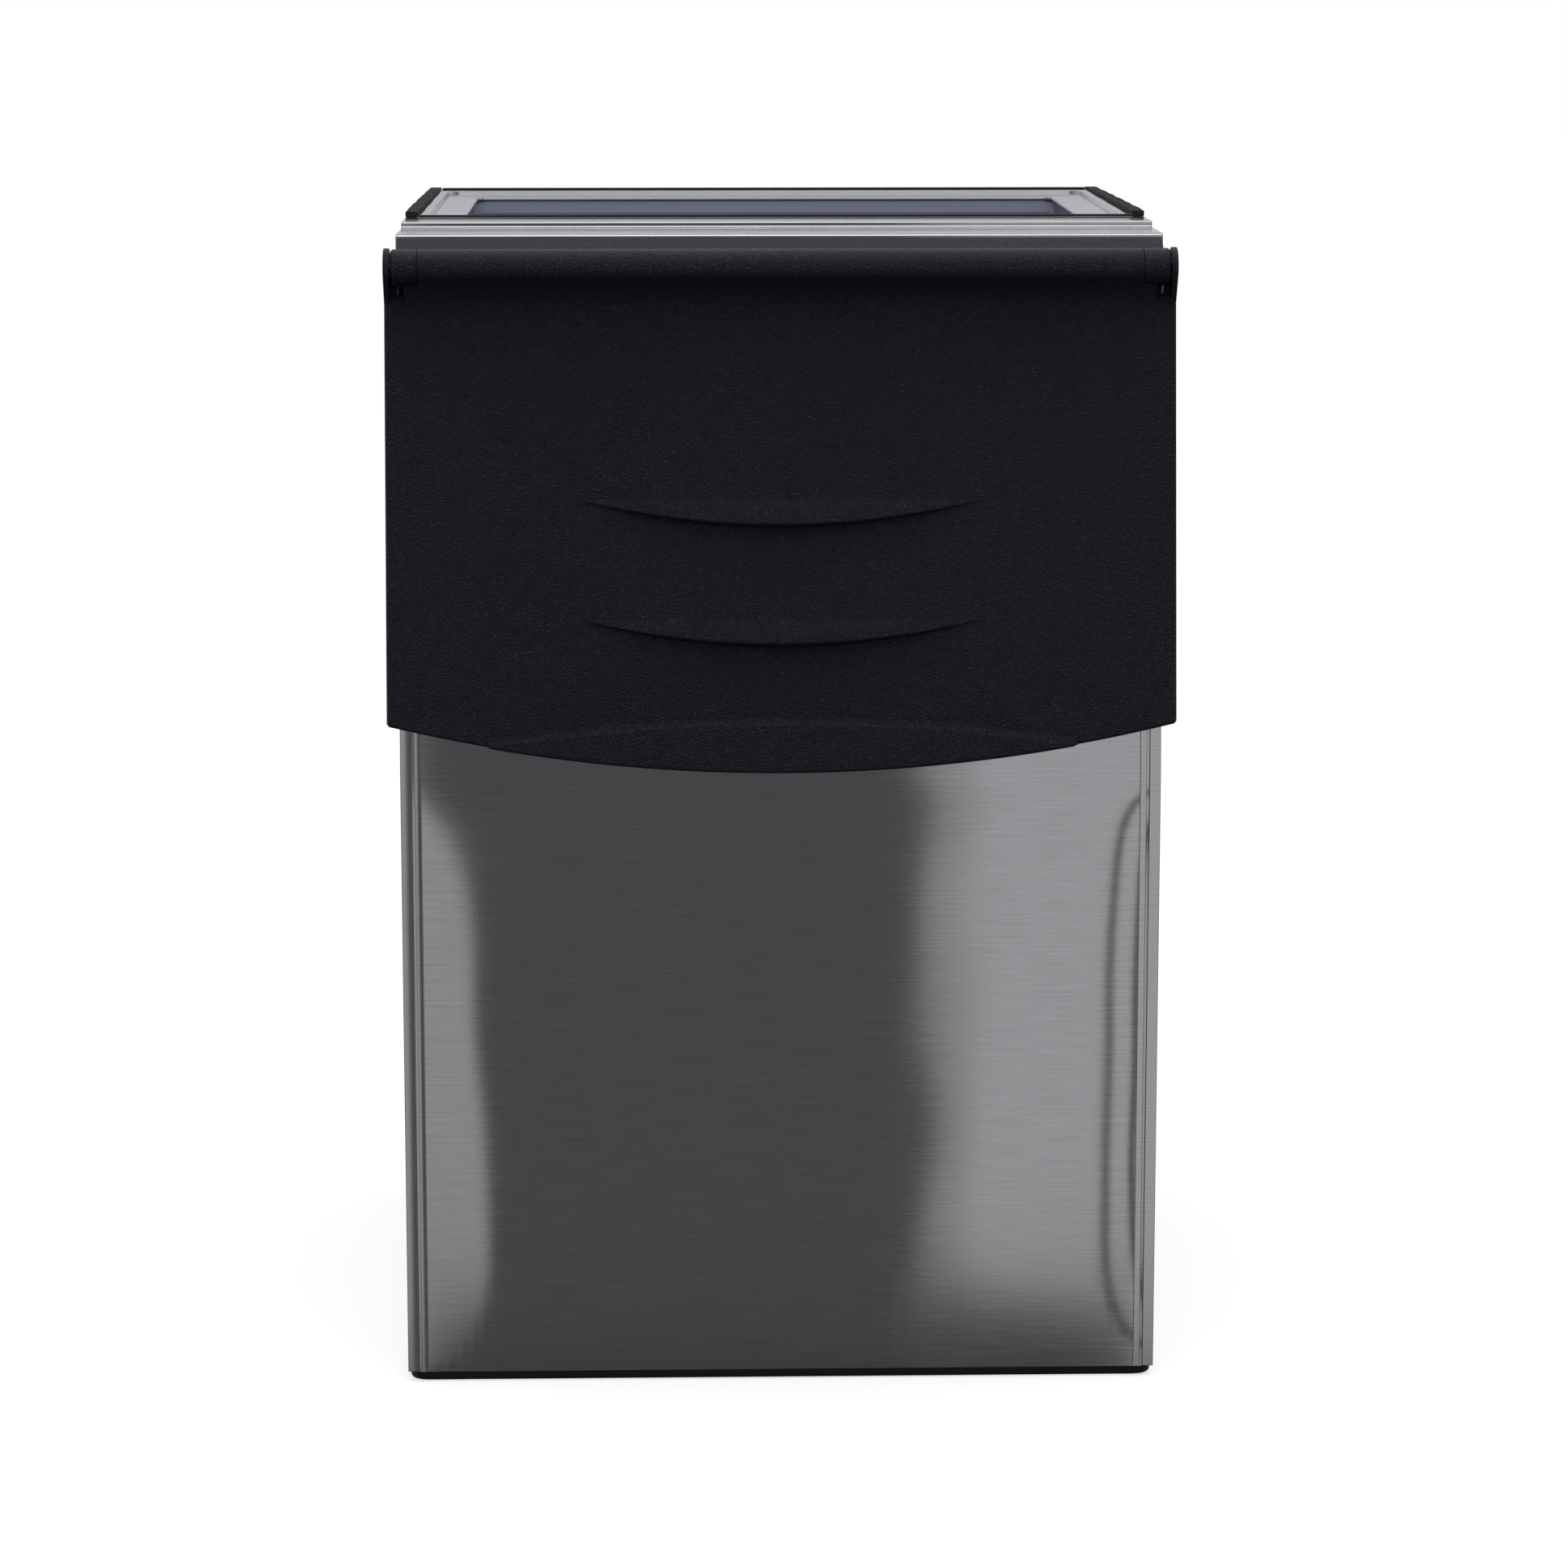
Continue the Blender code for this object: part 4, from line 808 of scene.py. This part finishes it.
makeSideTape("left", -1)
makeSideTape("right", 1)
softPiece("head_tape_rear", "head_gasket_rear", "foamTape", 0.0006, 2)
softPiece("mouth_trim", "mouth_edge_trim", "vinyl", 0.0009)
softPiece("ice_baffle", "baffle", "white", 0.0008, body="baffle")
for side in sides:
    softPiece(f"baffle_stud_{side}", f"baffle_pin_{side}", "hardware", 0.0004, 2, 50)
drainParts = {"drain_spigot": "drain_tube", "drain_collar": "drain_nut", "drain_cap": "drain_strainer"}
for name, node in drainParts.items():
    softPiece(name, node, "drain", 0.0005, 2, 40)
for node in ("foam_insulation", "foam_front", "foam_drain_block", "door_core"):
    frame["nodes"][node].data.materials.clear()
    frame["nodes"][node].data.materials.append(finishes["foam"]["material"])
print("mouth and store made")

# Screws and leg bushes

screwSizes = ("Head radius", "Head height", "Shank radius", "Shank length")
backScrews = dict(zip(screwSizes, (0.0040, 0.0022, 0.0016, 0.0016)))
hingeScrews = dict(zip(screwSizes, (0.0036, 0.0020, 0.0019, 0.0120)))
doorScrews = dict(zip(screwSizes, (0.0033, 0.0016, 0.0015, 0.0026)))
legBushes = {"Radius": 0.012, "Height": 0.0084, "Bore radius": 0.006}


def screwPlaces(nodes, depthAt):
    # the screws' own x and z, on the surface whose depth is given for a height
    middles = [centreOf(node) for node in nodes]
    return [(middle.x, depthAt(middle.z), middle.z) for middle in middles]


backNodes = [f"back_screw_{side}_{row}" for side in sides for row in ("low", "middle", "high")]
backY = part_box("back_panel")[1].y + cabinet["gap"]
backPlaces = screwPlaces(backNodes, lambda z: backY)
screwRow("back_screws", "cabinet", backPlaces, -90, backScrews, backNodes)

flangeFace = 0.0037  # outer face of the knuckle's flange, in front of the cabinet's front
hingeNodes = [f"hinge_screw_{side}_{row}" for side in sides for row in ("upper", "lower")]
hingePlaces = screwPlaces(hingeNodes, lambda z: frontAt(z) - flangeFace)
screwRow("hinge_screws", "cabinet", hingePlaces, 90, hingeScrews, hingeNodes)

doorNodes = [f"door_screw_{side}_{row}" for side in sides for row in ("low", "middle", "high")]
rimStandOff = 0.007  # door's rim in front of the cabinet's front
doorPlaces = screwPlaces(doorNodes, lambda z: frontAt(z) - rimStandOff + cabinet["gap"])
screwRow("door_screws", "door", doorPlaces, -90, doorScrews, doorNodes)

bushNodes = [f"leg_socket_{end}_{side}" for end in ("front", "back") for side in sides]
bushes = meshPiece("leg_bushes", [tuple(centreOf(n)) for n in bushNodes], [])
runTree(bushes, bushTree, "hardware", legBushes)
finishPiece(bushes, "hardware", "cabinet", bushNodes, sharp=30)
print("screws and leg bushes made")

# Hinge

hinge = {
    "axisY": centreOf("hinge_pin_left").y,
    "axisZ": centreOf("hinge_pin_left").z,
    "barrelRadius": 0.0185,
    "barrelHalf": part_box("hinge_rail")[1].x,
    "edge": 0.0007,
    "coveRadius": 0.045,
    "coveHalf": 0.371,  # the hollow runs on a little under the knuckles
    "knuckleRoom": 0.0193,
    "earRadius": 0.0195,
    "earInner": 0.385,
    "pinRadius": 0.0045,
    "neckBehind": 0.0095,  # the barrel's neck, behind the axis
}
hinge["axis"] = (hinge["axisY"], hinge["axisZ"])
hingeRail = {
    "half": 0.3795,
    "lowZ": 1.1135,
    "highZ": 1.1615,
    "room": 0.0015,  # between the rail's hollow and the barrel
    "standOff": 0.0006,
    "edge": 0.0012,
}
hingeKnuckle = {
    "innerX": 0.358,
    "outerX": 0.384,
    "endRound": 0.0030,
    "endSteps": 6,
    "webTopZ": 1.128,
    "flange": [(0.3475, 1.070), (0.3590, 1.070), (0.3788, 1.092), (0.3788, 1.117), (0.3475, 1.117)],
    "flangeFront": 0.003,
}


def makeHingeRail():
    r = hingeRail
    outline = [(frontAt(z) - r["standOff"], z) for z in (r["lowZ"], r["highZ"])]
    outline += arc(hinge["axis"], hinge["barrelRadius"] + r["room"], 55, -45, 24)
    rail = barAlongX("hinge_cover_rail", outline, -r["half"], r["half"])
    roundEdges(rail, r["edge"], 3, 40)
    finishPiece(rail, "black", "cabinet", ["hinge_rail"])


def makeKnuckle(side, name):
    k = hingeKnuckle
    web = [(frontAt(z) - hingeRail["standOff"], z) for z in (hingeRail["lowZ"], k["webTopZ"])]
    rings = []
    stations = [(k["innerX"], 0.0)]
    for step in range(k["endSteps"] + 1):
        turn = radians(90 / k["endSteps"] * step)
        x = k["outerX"] - k["endRound"] * (1 - sin(turn))
        stations.append((x, k["endRound"] * (1 - cos(turn))))
    for x, shrink in stations:
        around = arc(hinge["axis"], hinge["barrelRadius"] - shrink, 50, 300, 40)
        rings.append([(side * x, y, z) for y, z in around + web])
    flange = [(side * x, z) for x, z in k["flange"]]
    near = [(x, frontAt(z) - k["flangeFront"], z) for x, z in flange]
    far = [(x, frontAt(z) - cabinet["gap"], z) for x, z in flange]
    plate = loftPiece("hingeFlange", [near, far])
    roundEdges(plate, hinge["edge"], 2, 60)
    knuckle = joinPieces(f"knuckle_{name}", [loftPiece("hingeKnuckle", rings), plate])
    finishPiece(knuckle, "black", "cabinet", [f"hinge_knuckle_{name}"], sharp=40)


makeHingeRail()
for sign, side in ((-1, "left"), (1, "right")):
    makeKnuckle(sign, side)
    softPiece(f"pivot_pin_{side}", f"hinge_pin_{side}", "hardware", 0.0003, 2, 50, body="door")
print("hinge made")

# Door

door = {
    "halfWidth": 0.391,
    "shoulderZ": 1.107,
    "cornerZ": 0.686,
    "lowZ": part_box("door_shell")[0].z,
    "faceTopY": -0.336,
    "faceLowY": -0.398,
    "skin": 0.003,
    "shoulderRadius": 0.010,
    "edge": 0.003,
    "edgeSteps": 4,
    "rimRound": 0.0008,
    "neckSink": 0.0026,
}
faceHalf = door["halfWidth"] - door["edge"]  # the face inside its rounded edge
faceTop = door["shoulderZ"] - door["edge"]
faceShoulder = door["shoulderRadius"] - door["edge"]
crescent = {"half": 0.199, "drop": 0.028, "proud": 0.0065, "chords": (0.790, 0.907), "ridgeShare": 0.78}
pull = {"half": 0.293, "topZ": 0.694, "endZ": 0.673, "proud": 0.009, "step": 0.007}
fingerSlot = {"half": 0.200, "lowZ": 0.60, "topZ": 0.678, "behindFace": 0.006, "beforeRim": 0.009}
hairline = 0.0006  # least height of a band of the door's mesh


def faceAt(z):
    lean = (door["faceTopY"] - door["faceLowY"]) / (door["shoulderZ"] - door["lowZ"])
    return door["faceTopY"] - (door["shoulderZ"] - z) * lean


def doorRimAt(z):
    return cabinet["frontY"] + (z - cabinet["kneeZ"]) * frontLean - rimStandOff


def footArc():
    # the door's curved lower edge is an arc through its corners and its lowest point
    drop = door["cornerZ"] - door["lowZ"]
    radius = (door["halfWidth"] ** 2 + drop**2) / (2 * drop)
    return radius, door["lowZ"] + radius


def footAt(x):
    radius, centreZ = footArc()
    inner = radius - door["edge"]
    return centreZ - sqrt(inner**2 - x**2)


def headAt(x):
    # top line of the face inside its rounded edge, with round shoulders
    over = max(0.0, abs(x) - (faceHalf - faceShoulder))
    return faceTop - faceShoulder + sqrt(max(0.0, faceShoulder**2 - over**2))


def pullTopAt(x):
    return pull["topZ"] - (pull["topZ"] - pull["endZ"]) * (x / pull["half"]) ** 2


def faceLines(x):
    # heights of the lines that the face's rows follow, from the foot up
    foot = footAt(x)
    pullTop = pullTopAt(x)
    outer = max(pullTop, foot + 2 * hairline)
    inner = max(pullTop - pull["step"], foot + hairline)
    lines = [(foot, 0), (inner, 8), (outer, 12)]
    share = max(0.0, 1.0 - (x / crescent["half"]) ** 2)
    gap = 8
    for chord, above in zip(crescent["chords"], (22, 20)):
        low = chord - max(crescent["drop"] * share, 2 * hairline)
        ridge = chord - max(crescent["drop"] * share * crescent["ridgeShare"], hairline)
        lines += [(low, above), (ridge, gap), (chord, gap + 4)]
    lines.append((headAt(x), 48))
    return lines


def crescentRise(x, z):
    share = 1.0 - (x / crescent["half"]) ** 2
    if share <= 0.0:
        return 0.0
    for chord in crescent["chords"]:
        low = chord - crescent["drop"] * share
        ridge = chord - crescent["drop"] * share * crescent["ridgeShare"]
        if ridge <= z <= chord:
            t = (chord - z) / (chord - ridge)
            return crescent["proud"] * share * (t * (1.0 + 0.35 * (1.0 - t)))
        if low <= z < ridge:
            t = (ridge - z) / (ridge - low)
            return crescent["proud"] * share * (1.0 - t**1.8)
    return 0.0


def pullRise(x, z):
    inside = min(pull["half"] - abs(x), pullTopAt(x) - z) / pull["step"]
    inside = min(1.0, max(0.0, inside))
    return pull["proud"] * (1.0 - (1.0 - inside) ** 1.6)


def faceColumns():
    marks = [0.0, crescent["half"], pull["half"] - pull["step"], pull["half"]]
    marks += [faceHalf - faceShoulder, faceHalf]
    counts = (62, 30, 8, 22, 9)
    xs = [0.0]
    for (low, high), count in zip(zip(marks, marks[1:]), counts):
        for i in range(1, count + 1):
            t = i / count
            if high == faceHalf:
                t = sin(t * pi / 2)
            xs.append(low + (high - low) * t)
    return [-x for x in xs[:0:-1]] + xs


def faceGrid():
    columns = []
    for x in faceColumns():
        lines = faceLines(x)
        zs = [lines[0][0]]
        for (low, _), (high, count) in zip(lines, lines[1:]):
            zs += [low + (high - low) * i / count for i in range(1, count + 1)]
        columns.append([(x, faceAt(z) - crescentRise(x, z) - pullRise(x, z), z) for z in zs])
    return columns


def edgeNormals(columns):
    # boundary loop of the grid with the outward direction of each point, in x and z
    radius, centreZ = footArc()
    last = len(columns) - 1
    high = len(columns[0]) - 1
    loop = []
    for c in range(0, last + 1):
        x = columns[c][0][0]
        inner = radius - door["edge"]
        loop.append((c, 0, x / inner, (footAt(x) - centreZ) / inner))
    for r in range(1, high + 1):
        loop.append((last, r, 1.0, 0.0))
    for c in range(last - 1, -1, -1):
        x = columns[c][high][0]
        over = copysign(max(0.0, abs(x) - (faceHalf - faceShoulder)), x) / faceShoulder
        loop.append((c, high, over, sqrt(max(0.0, 1.0 - over**2))))
    for r in range(high - 1, 0, -1):
        loop.append((0, r, -1.0, 0.0))
    return loop


def makeDoorSkin():
    columns = faceGrid()
    tall = len(columns[0])
    verts = [place for column in columns for place in column]
    faces = []
    for c in range(len(columns) - 1):
        for r in range(tall - 1):
            faces.append((c * tall + r, (c + 1) * tall + r, (c + 1) * tall + r + 1, c * tall + r + 1))
    loop = edgeNormals(columns)
    ring = [c * tall + r for c, r, _, _ in loop]
    edge, soft = door["edge"], door["rimRound"]
    inner = edge - door["skin"]
    turns = [pi / 2 * i / door["edgeSteps"] for i in range(1, door["edgeSteps"] + 1)]
    levels = [(edge * sin(a), "front", edge * (1 - cos(a))) for a in turns]
    levels += [(edge, "rim", -soft), (edge - soft, "rim", 0.0), (inner + soft, "rim", 0.0)]
    levels += [(inner, "rim", -soft), (inner, "face", door["skin"])]
    for out, base, back in levels:
        start = len(verts)
        for c, r, nx, nz in loop:
            x, y, z = columns[c][r]
            px, pz = x + nx * out, z + nz * out
            depth = {"front": y, "rim": doorRimAt(pz), "face": faceAt(pz)}[base] + back
            verts.append((px, depth, pz))
        after = list(range(start, len(verts)))
        corners = zip(ring, ring[1:] + ring[:1], after[1:] + after[:1], after)
        faces += list(corners)
        ring = after
    faces.append(tuple(ring))
    skin = meshPiece("door_skin", verts, faces)
    turnOutwards(skin)
    s = fingerSlot
    half, low, high = s["half"], s["lowZ"], s["topZ"]
    outline = [(-half, low), (half, low), (half, high), (-half, high)]
    near = [(x, faceAt(z) + s["behindFace"], z) for x, z in outline]
    far = [(x, doorRimAt(z) - s["beforeRim"], z) for x, z in outline]
    carve(skin, loftPiece("slotCutter", [near, far]))
    return skin


def coveLine():
    # centre of the hollow curve, and the angle at which it meets the barrel
    lean = atan2(door["faceTopY"] - door["faceLowY"], door["shoulderZ"] - door["lowZ"])
    up = (sin(lean), cos(lean))
    out = (-cos(lean), sin(lean))
    axis = (hinge["axisY"] - door["faceTopY"], hinge["axisZ"] - door["shoulderZ"])
    w = (out[0] * hinge["coveRadius"] - axis[0], out[1] * hinge["coveRadius"] - axis[1])
    half = w[0] * up[0] + w[1] * up[1]
    reach = hinge["coveRadius"] + hinge["barrelRadius"]
    along = -half - sqrt(half**2 - (w[0] ** 2 + w[1] ** 2) + reach**2)
    foot = (door["faceTopY"], door["shoulderZ"])
    centre = [foot[i] + out[i] * hinge["coveRadius"] + up[i] * along for i in (0, 1)]
    meet = degrees(atan2(hinge["axisZ"] - centre[1], hinge["axisY"] - centre[0]))
    return centre, -degrees(lean), meet


def neckOf(foot):
    # closes the barrel's outline inside the door, from below its axis to the foot of the cove
    sunk = door["neckSink"]
    neckZ = door["shoulderZ"] - sunk
    behind = hinge["axisY"] + hinge["neckBehind"]
    return [(behind, neckZ), (faceAt(neckZ) + sunk, neckZ), (foot[0] + sunk, foot[1])]


def makeBarrel():
    centre, start, meet = coveLine()
    axis = hinge["axis"]
    proud = 0.0001  # the moulding's flow line where the hollow runs out on the face
    cove = [(y - proud, z) for y, z in arc(centre, hinge["coveRadius"], start, meet, 20)]
    around = arc(axis, hinge["barrelRadius"], meet + 180, -62, 48)
    outline = cove + around[1:] + neckOf(cove[0])
    pieces = [barAlongX("barrel", outline, -hinge["barrelHalf"], hinge["barrelHalf"])]
    room = hinge["knuckleRoom"]
    beyond = [p for p in cove if dist(p, axis) > room]
    first = degrees(atan2(beyond[-1][1] - axis[1], beyond[-1][0] - axis[0]))
    hollow = arc(axis, room, first + 360 + 0.5 if first < 0 else first, 360 - 62, 16)
    end = beyond + hollow + neckOf(cove[0])
    for side in (-1, 1):
        low, high = sorted((side * (hinge["barrelHalf"] - 0.0002), side * hinge["coveHalf"]))
        pieces.append(barAlongX("coveEnd", end, low, high))
    for piece in pieces:
        roundEdges(piece, hinge["edge"], 2, 60)
    return pieces


# the ear draws in above the shoulder, and a gusset behind it closes the notch under the knuckle
earFoot = {
    "lowZ": 1.107,
    "highZ": 1.122,
    "taper": 0.0026,
    "innerX": 0.3800,
    "outerX": 0.3885,
    "room": 0.0197,  # the gusset's hollow clears the knuckle
    "base": [(-0.3340, 1.102), (-0.3125, 1.102), (-0.3125, 1.1240)],
}


def makeEar(side):
    axis = hinge["axis"]
    outline = arc(axis, hinge["earRadius"], 0, 200, 28)
    low, high = door["shoulderZ"] - 0.017, door["shoulderZ"] + 0.001
    outline += [(door["faceTopY"] + 0.002, low + 0.006), (door["faceTopY"] + 0.004, low)]
    outline += [(doorRimAt(low) - 0.001, low), (doorRimAt(high) - 0.001, high)]
    low, high = sorted((side * hinge["earInner"], side * door["halfWidth"]))
    ear = barAlongX("ear", outline, low, high)
    hole = arc(axis, hinge["pinRadius"] + cabinet["gap"], 0, 360, 32)[1:]
    carve(ear, barAlongX("pinHole", hole, low - 0.01, high + 0.01))
    roundEdges(ear, 0.0011, 3, 50)
    for vert in ear.data.vertices:
        if vert.co.z < earFoot["highZ"] and abs(vert.co.x) > hinge["earInner"] + 0.002:
            fall = (earFoot["highZ"] - vert.co.z) / (earFoot["highZ"] - earFoot["lowZ"])
            vert.co.x -= side * earFoot["taper"] * max(0.0, sin(min(1.0, fall) * pi))
    low, high = sorted((side * earFoot["innerX"], side * earFoot["outerX"]))
    gusset = barAlongX("gusset", earFoot["base"] + arc(axis, earFoot["room"], -28, -90, 12), low, high)
    roundEdges(gusset, 0.0004, 2, 50)
    return joinPieces("earWithGusset", [ear, gusset])


doorParts = [makeDoorSkin(), *makeBarrel(), makeEar(-1), makeEar(1)]
finishPiece(joinPieces("door_moulding", doorParts), "black", "door", ["door_shell"], sharp=32)
softPiece("finger_cup", "pull_cup", "black", 0.0008, 2, body="door")
softPiece("door_inner_panel", "door_liner", "grey", 0.0010, body="door")
for side in sides:
    button = (f"closing_button_{side}", f"door_bumper_{side}")
    softPiece(*button, "foamTape", 0.0008, angle=30, body="door")

doorSeal = {
    "half": 0.327,
    "lowZ": 0.728,
    "highZ": 1.092,
    "radius": 0.030,
    "offPanel": 0.0012,  # the foot's middle lies just off the inner panel
    "sizes": {"Foot width": 0.0118, "Foot depth": 0.0014, "Bulb radius": 0.00155, "Bulb lift": 0.0013},
}


def makeDoorSeal():
    s = doorSeal
    line = roundedBox(s["half"], s["lowZ"], s["highZ"], s["radius"], 10)
    places = [(x, doorRimAt(z) + s["offPanel"], z) for x, z in line]
    edges = [(i, (i + 1) % len(places)) for i in range(len(places))]
    seal = meshPiece("door_seal", places, [], edges)
    runTree(seal, makeSealTree(), "vinyl", s["sizes"])
    turnOutwards(seal)
    finishPiece(seal, "vinyl", "door", ["door_gasket"], sharp=40)


makeDoorSeal()
print("door made")

# Studio

studio = {
    "cameraPlace": (-0.119, -4.80, 1.450),
    "cameraPitch": 9.38,
    "cameraTurn": 1.564,
    "lens": 103.9,
    "shiftY": -0.06,
    "floorSize": 60.0,
    "lightPlaneY": -5.35,
    "boxZ": 0.9,
    "boxTall": 5.0,
    # upright soft boxes in front of the object: name, low x, high x, radiance
    "softBoxes": [
        ("leftSoftBox", -1.60, -0.66, 0.35),
        ("rightEdgeSoftBox", 0.43, 0.53, 0.30),
        ("rightSoftBox", 0.53, 1.14, 0.45),
        ("rightThinSoftBox", 1.22, 1.47, 0.45),
        ("farRightSoftBox", 1.58, 2.30, 0.40),
    ],
    "topPlace": (0.0, -0.9, 3.4),
    "topSize": (2.6, 1.6),
    "topTarget": (0.0, -0.1, 0.9),
    "topRadiance": 1.6,
    # how bright the room looks in reflections: to the front and to the back, and looking down
    "roomBright": (0.115, 0.68),
    "roomSpan": (-0.55, 0.6),
    "downShare": (0.25, 1.0),
    "downSpan": (-0.75, -0.22),
    "fill": 0.55,
    "roomTint": (0.97, 0.98, 1.0, 1.0),
    "floorPale": (0.80, 0.80, 0.80, 1.0),  # as the camera sees it, with a glow of its own
    "floorGlow": 0.62,
    "floorDim": (0.25, 0.25, 0.26, 1.0),  # as it lights the object
}


def makeCamera():
    data = bpy.data.cameras.new("camera")
    data.sensor_width = 36.0
    data.lens = studio["lens"]
    data.shift_y = studio["shiftY"]
    camera = addObject("camera", data)
    camera.location = studio["cameraPlace"]
    tilt, turn = radians(90 - studio["cameraPitch"]), radians(-studio["cameraTurn"])
    camera.rotation_euler = (tilt, 0.0, turn)
    bpy.context.scene.camera = camera


def softBox(name, centre, size, target, radiance):
    data = bpy.data.lights.new(name, "AREA")
    data.shape = "RECTANGLE"
    data.size, data.size_y = size
    data.energy = radiance * pi * size[0] * size[1]
    light = addObject(name, data)
    light.location = centre
    way = [t - c for t, c in zip(target, centre)]
    flat = hypot(way[0], way[1])
    light.rotation_euler = (atan2(flat, -way[2]), 0.0, atan2(way[1], way[0]) - pi / 2)
    light.visible_camera = False


def mixShaders(tree, factor, first, second):
    mix = addNode(tree, "ShaderNodeMixShader")
    for socket, value in zip(mix.inputs, (factor, first, second)):
        tree.links.new(value, socket)
    return mix.outputs[0]


def makeFloor():
    half = studio["floorSize"] / 2
    corners = [(-half, -half, 0), (half, -half, 0), (half, half, 0), (-half, half, 0)]
    floor = meshPiece("studio_floor", corners, [(0, 1, 2, 3)])
    floor.location.z = -0.0005
    material = bpy.data.materials.new("paleFloor")
    material.use_nodes = True
    tree = material.node_tree
    tree.nodes.clear()
    seen = addNode(tree, "ShaderNodeLightPath")
    pale = addNode(tree, "ShaderNodeBsdfDiffuse", Color=studio["floorPale"])
    glow = addNode(tree, "ShaderNodeEmission", Color=(1.0, 1.0, 1.0, 1.0), Strength=studio["floorGlow"])
    dim = addNode(tree, "ShaderNodeBsdfDiffuse", Color=studio["floorDim"])
    lit = addNode(tree, "ShaderNodeAddShader")
    tree.links.new(pale.outputs[0], lit.inputs[0])
    tree.links.new(glow.outputs[0], lit.inputs[1])
    mixed = mixShaders(tree, seen.outputs["Is Camera Ray"], dim.outputs[0], lit.outputs[0])
    addNode(tree, "ShaderNodeOutputMaterial", Surface=mixed)
    floor.data.materials.append(material)
    floor.visible_glossy = False


def makeWorld():
    # white to the camera; reflections find a dim room in front of the object and a pale wall behind it
    world = bpy.data.worlds.new("studio")
    bpy.context.scene.world = world
    world.use_nodes = True
    tree = world.node_tree
    tree.nodes.clear()
    seen = addNode(tree, "ShaderNodeLightPath")
    way = addNode(tree, "ShaderNodeTexCoord")
    parts = addNode(tree, "ShaderNodeSeparateXYZ", Vector=way.outputs["Generated"])
    behind = smoothRange(tree, parts.outputs["Y"], studio["roomSpan"], studio["roomBright"])
    under = smoothRange(tree, parts.outputs["Z"], studio["downSpan"], studio["downShare"])
    shades = []
    for colour, strength in (
        ((1.0, 1.0, 1.0, 1.0), 1.0),
        (studio["roomTint"], studio["fill"]),
        (studio["roomTint"], math2(tree, "MULTIPLY", behind, under)),
    ):
        shade = addNode(tree, "ShaderNodeBackground", Color=colour, Strength=strength)
        shades.append(shade.outputs[0])
    white, soft, room = shades
    other = mixShaders(tree, seen.outputs["Is Glossy Ray"], soft, room)
    mixed = mixShaders(tree, seen.outputs["Is Camera Ray"], other, white)
    addNode(tree, "ShaderNodeOutputWorld", Surface=mixed)


makeCamera()
makeFloor()
makeWorld()
for name, low, high, radiance in studio["softBoxes"]:
    middle = (low + high) / 2
    place = (middle, studio["lightPlaneY"], studio["boxZ"])
    target = (middle, 0.0, studio["boxZ"])
    softBox(name, place, (high - low, studio["boxTall"]), target, radiance)
softBox("topLight", studio["topPlace"], studio["topSize"], studio["topTarget"], studio["topRadiance"])
bpy.context.scene.view_settings.view_transform = "Standard"
print("studio made")
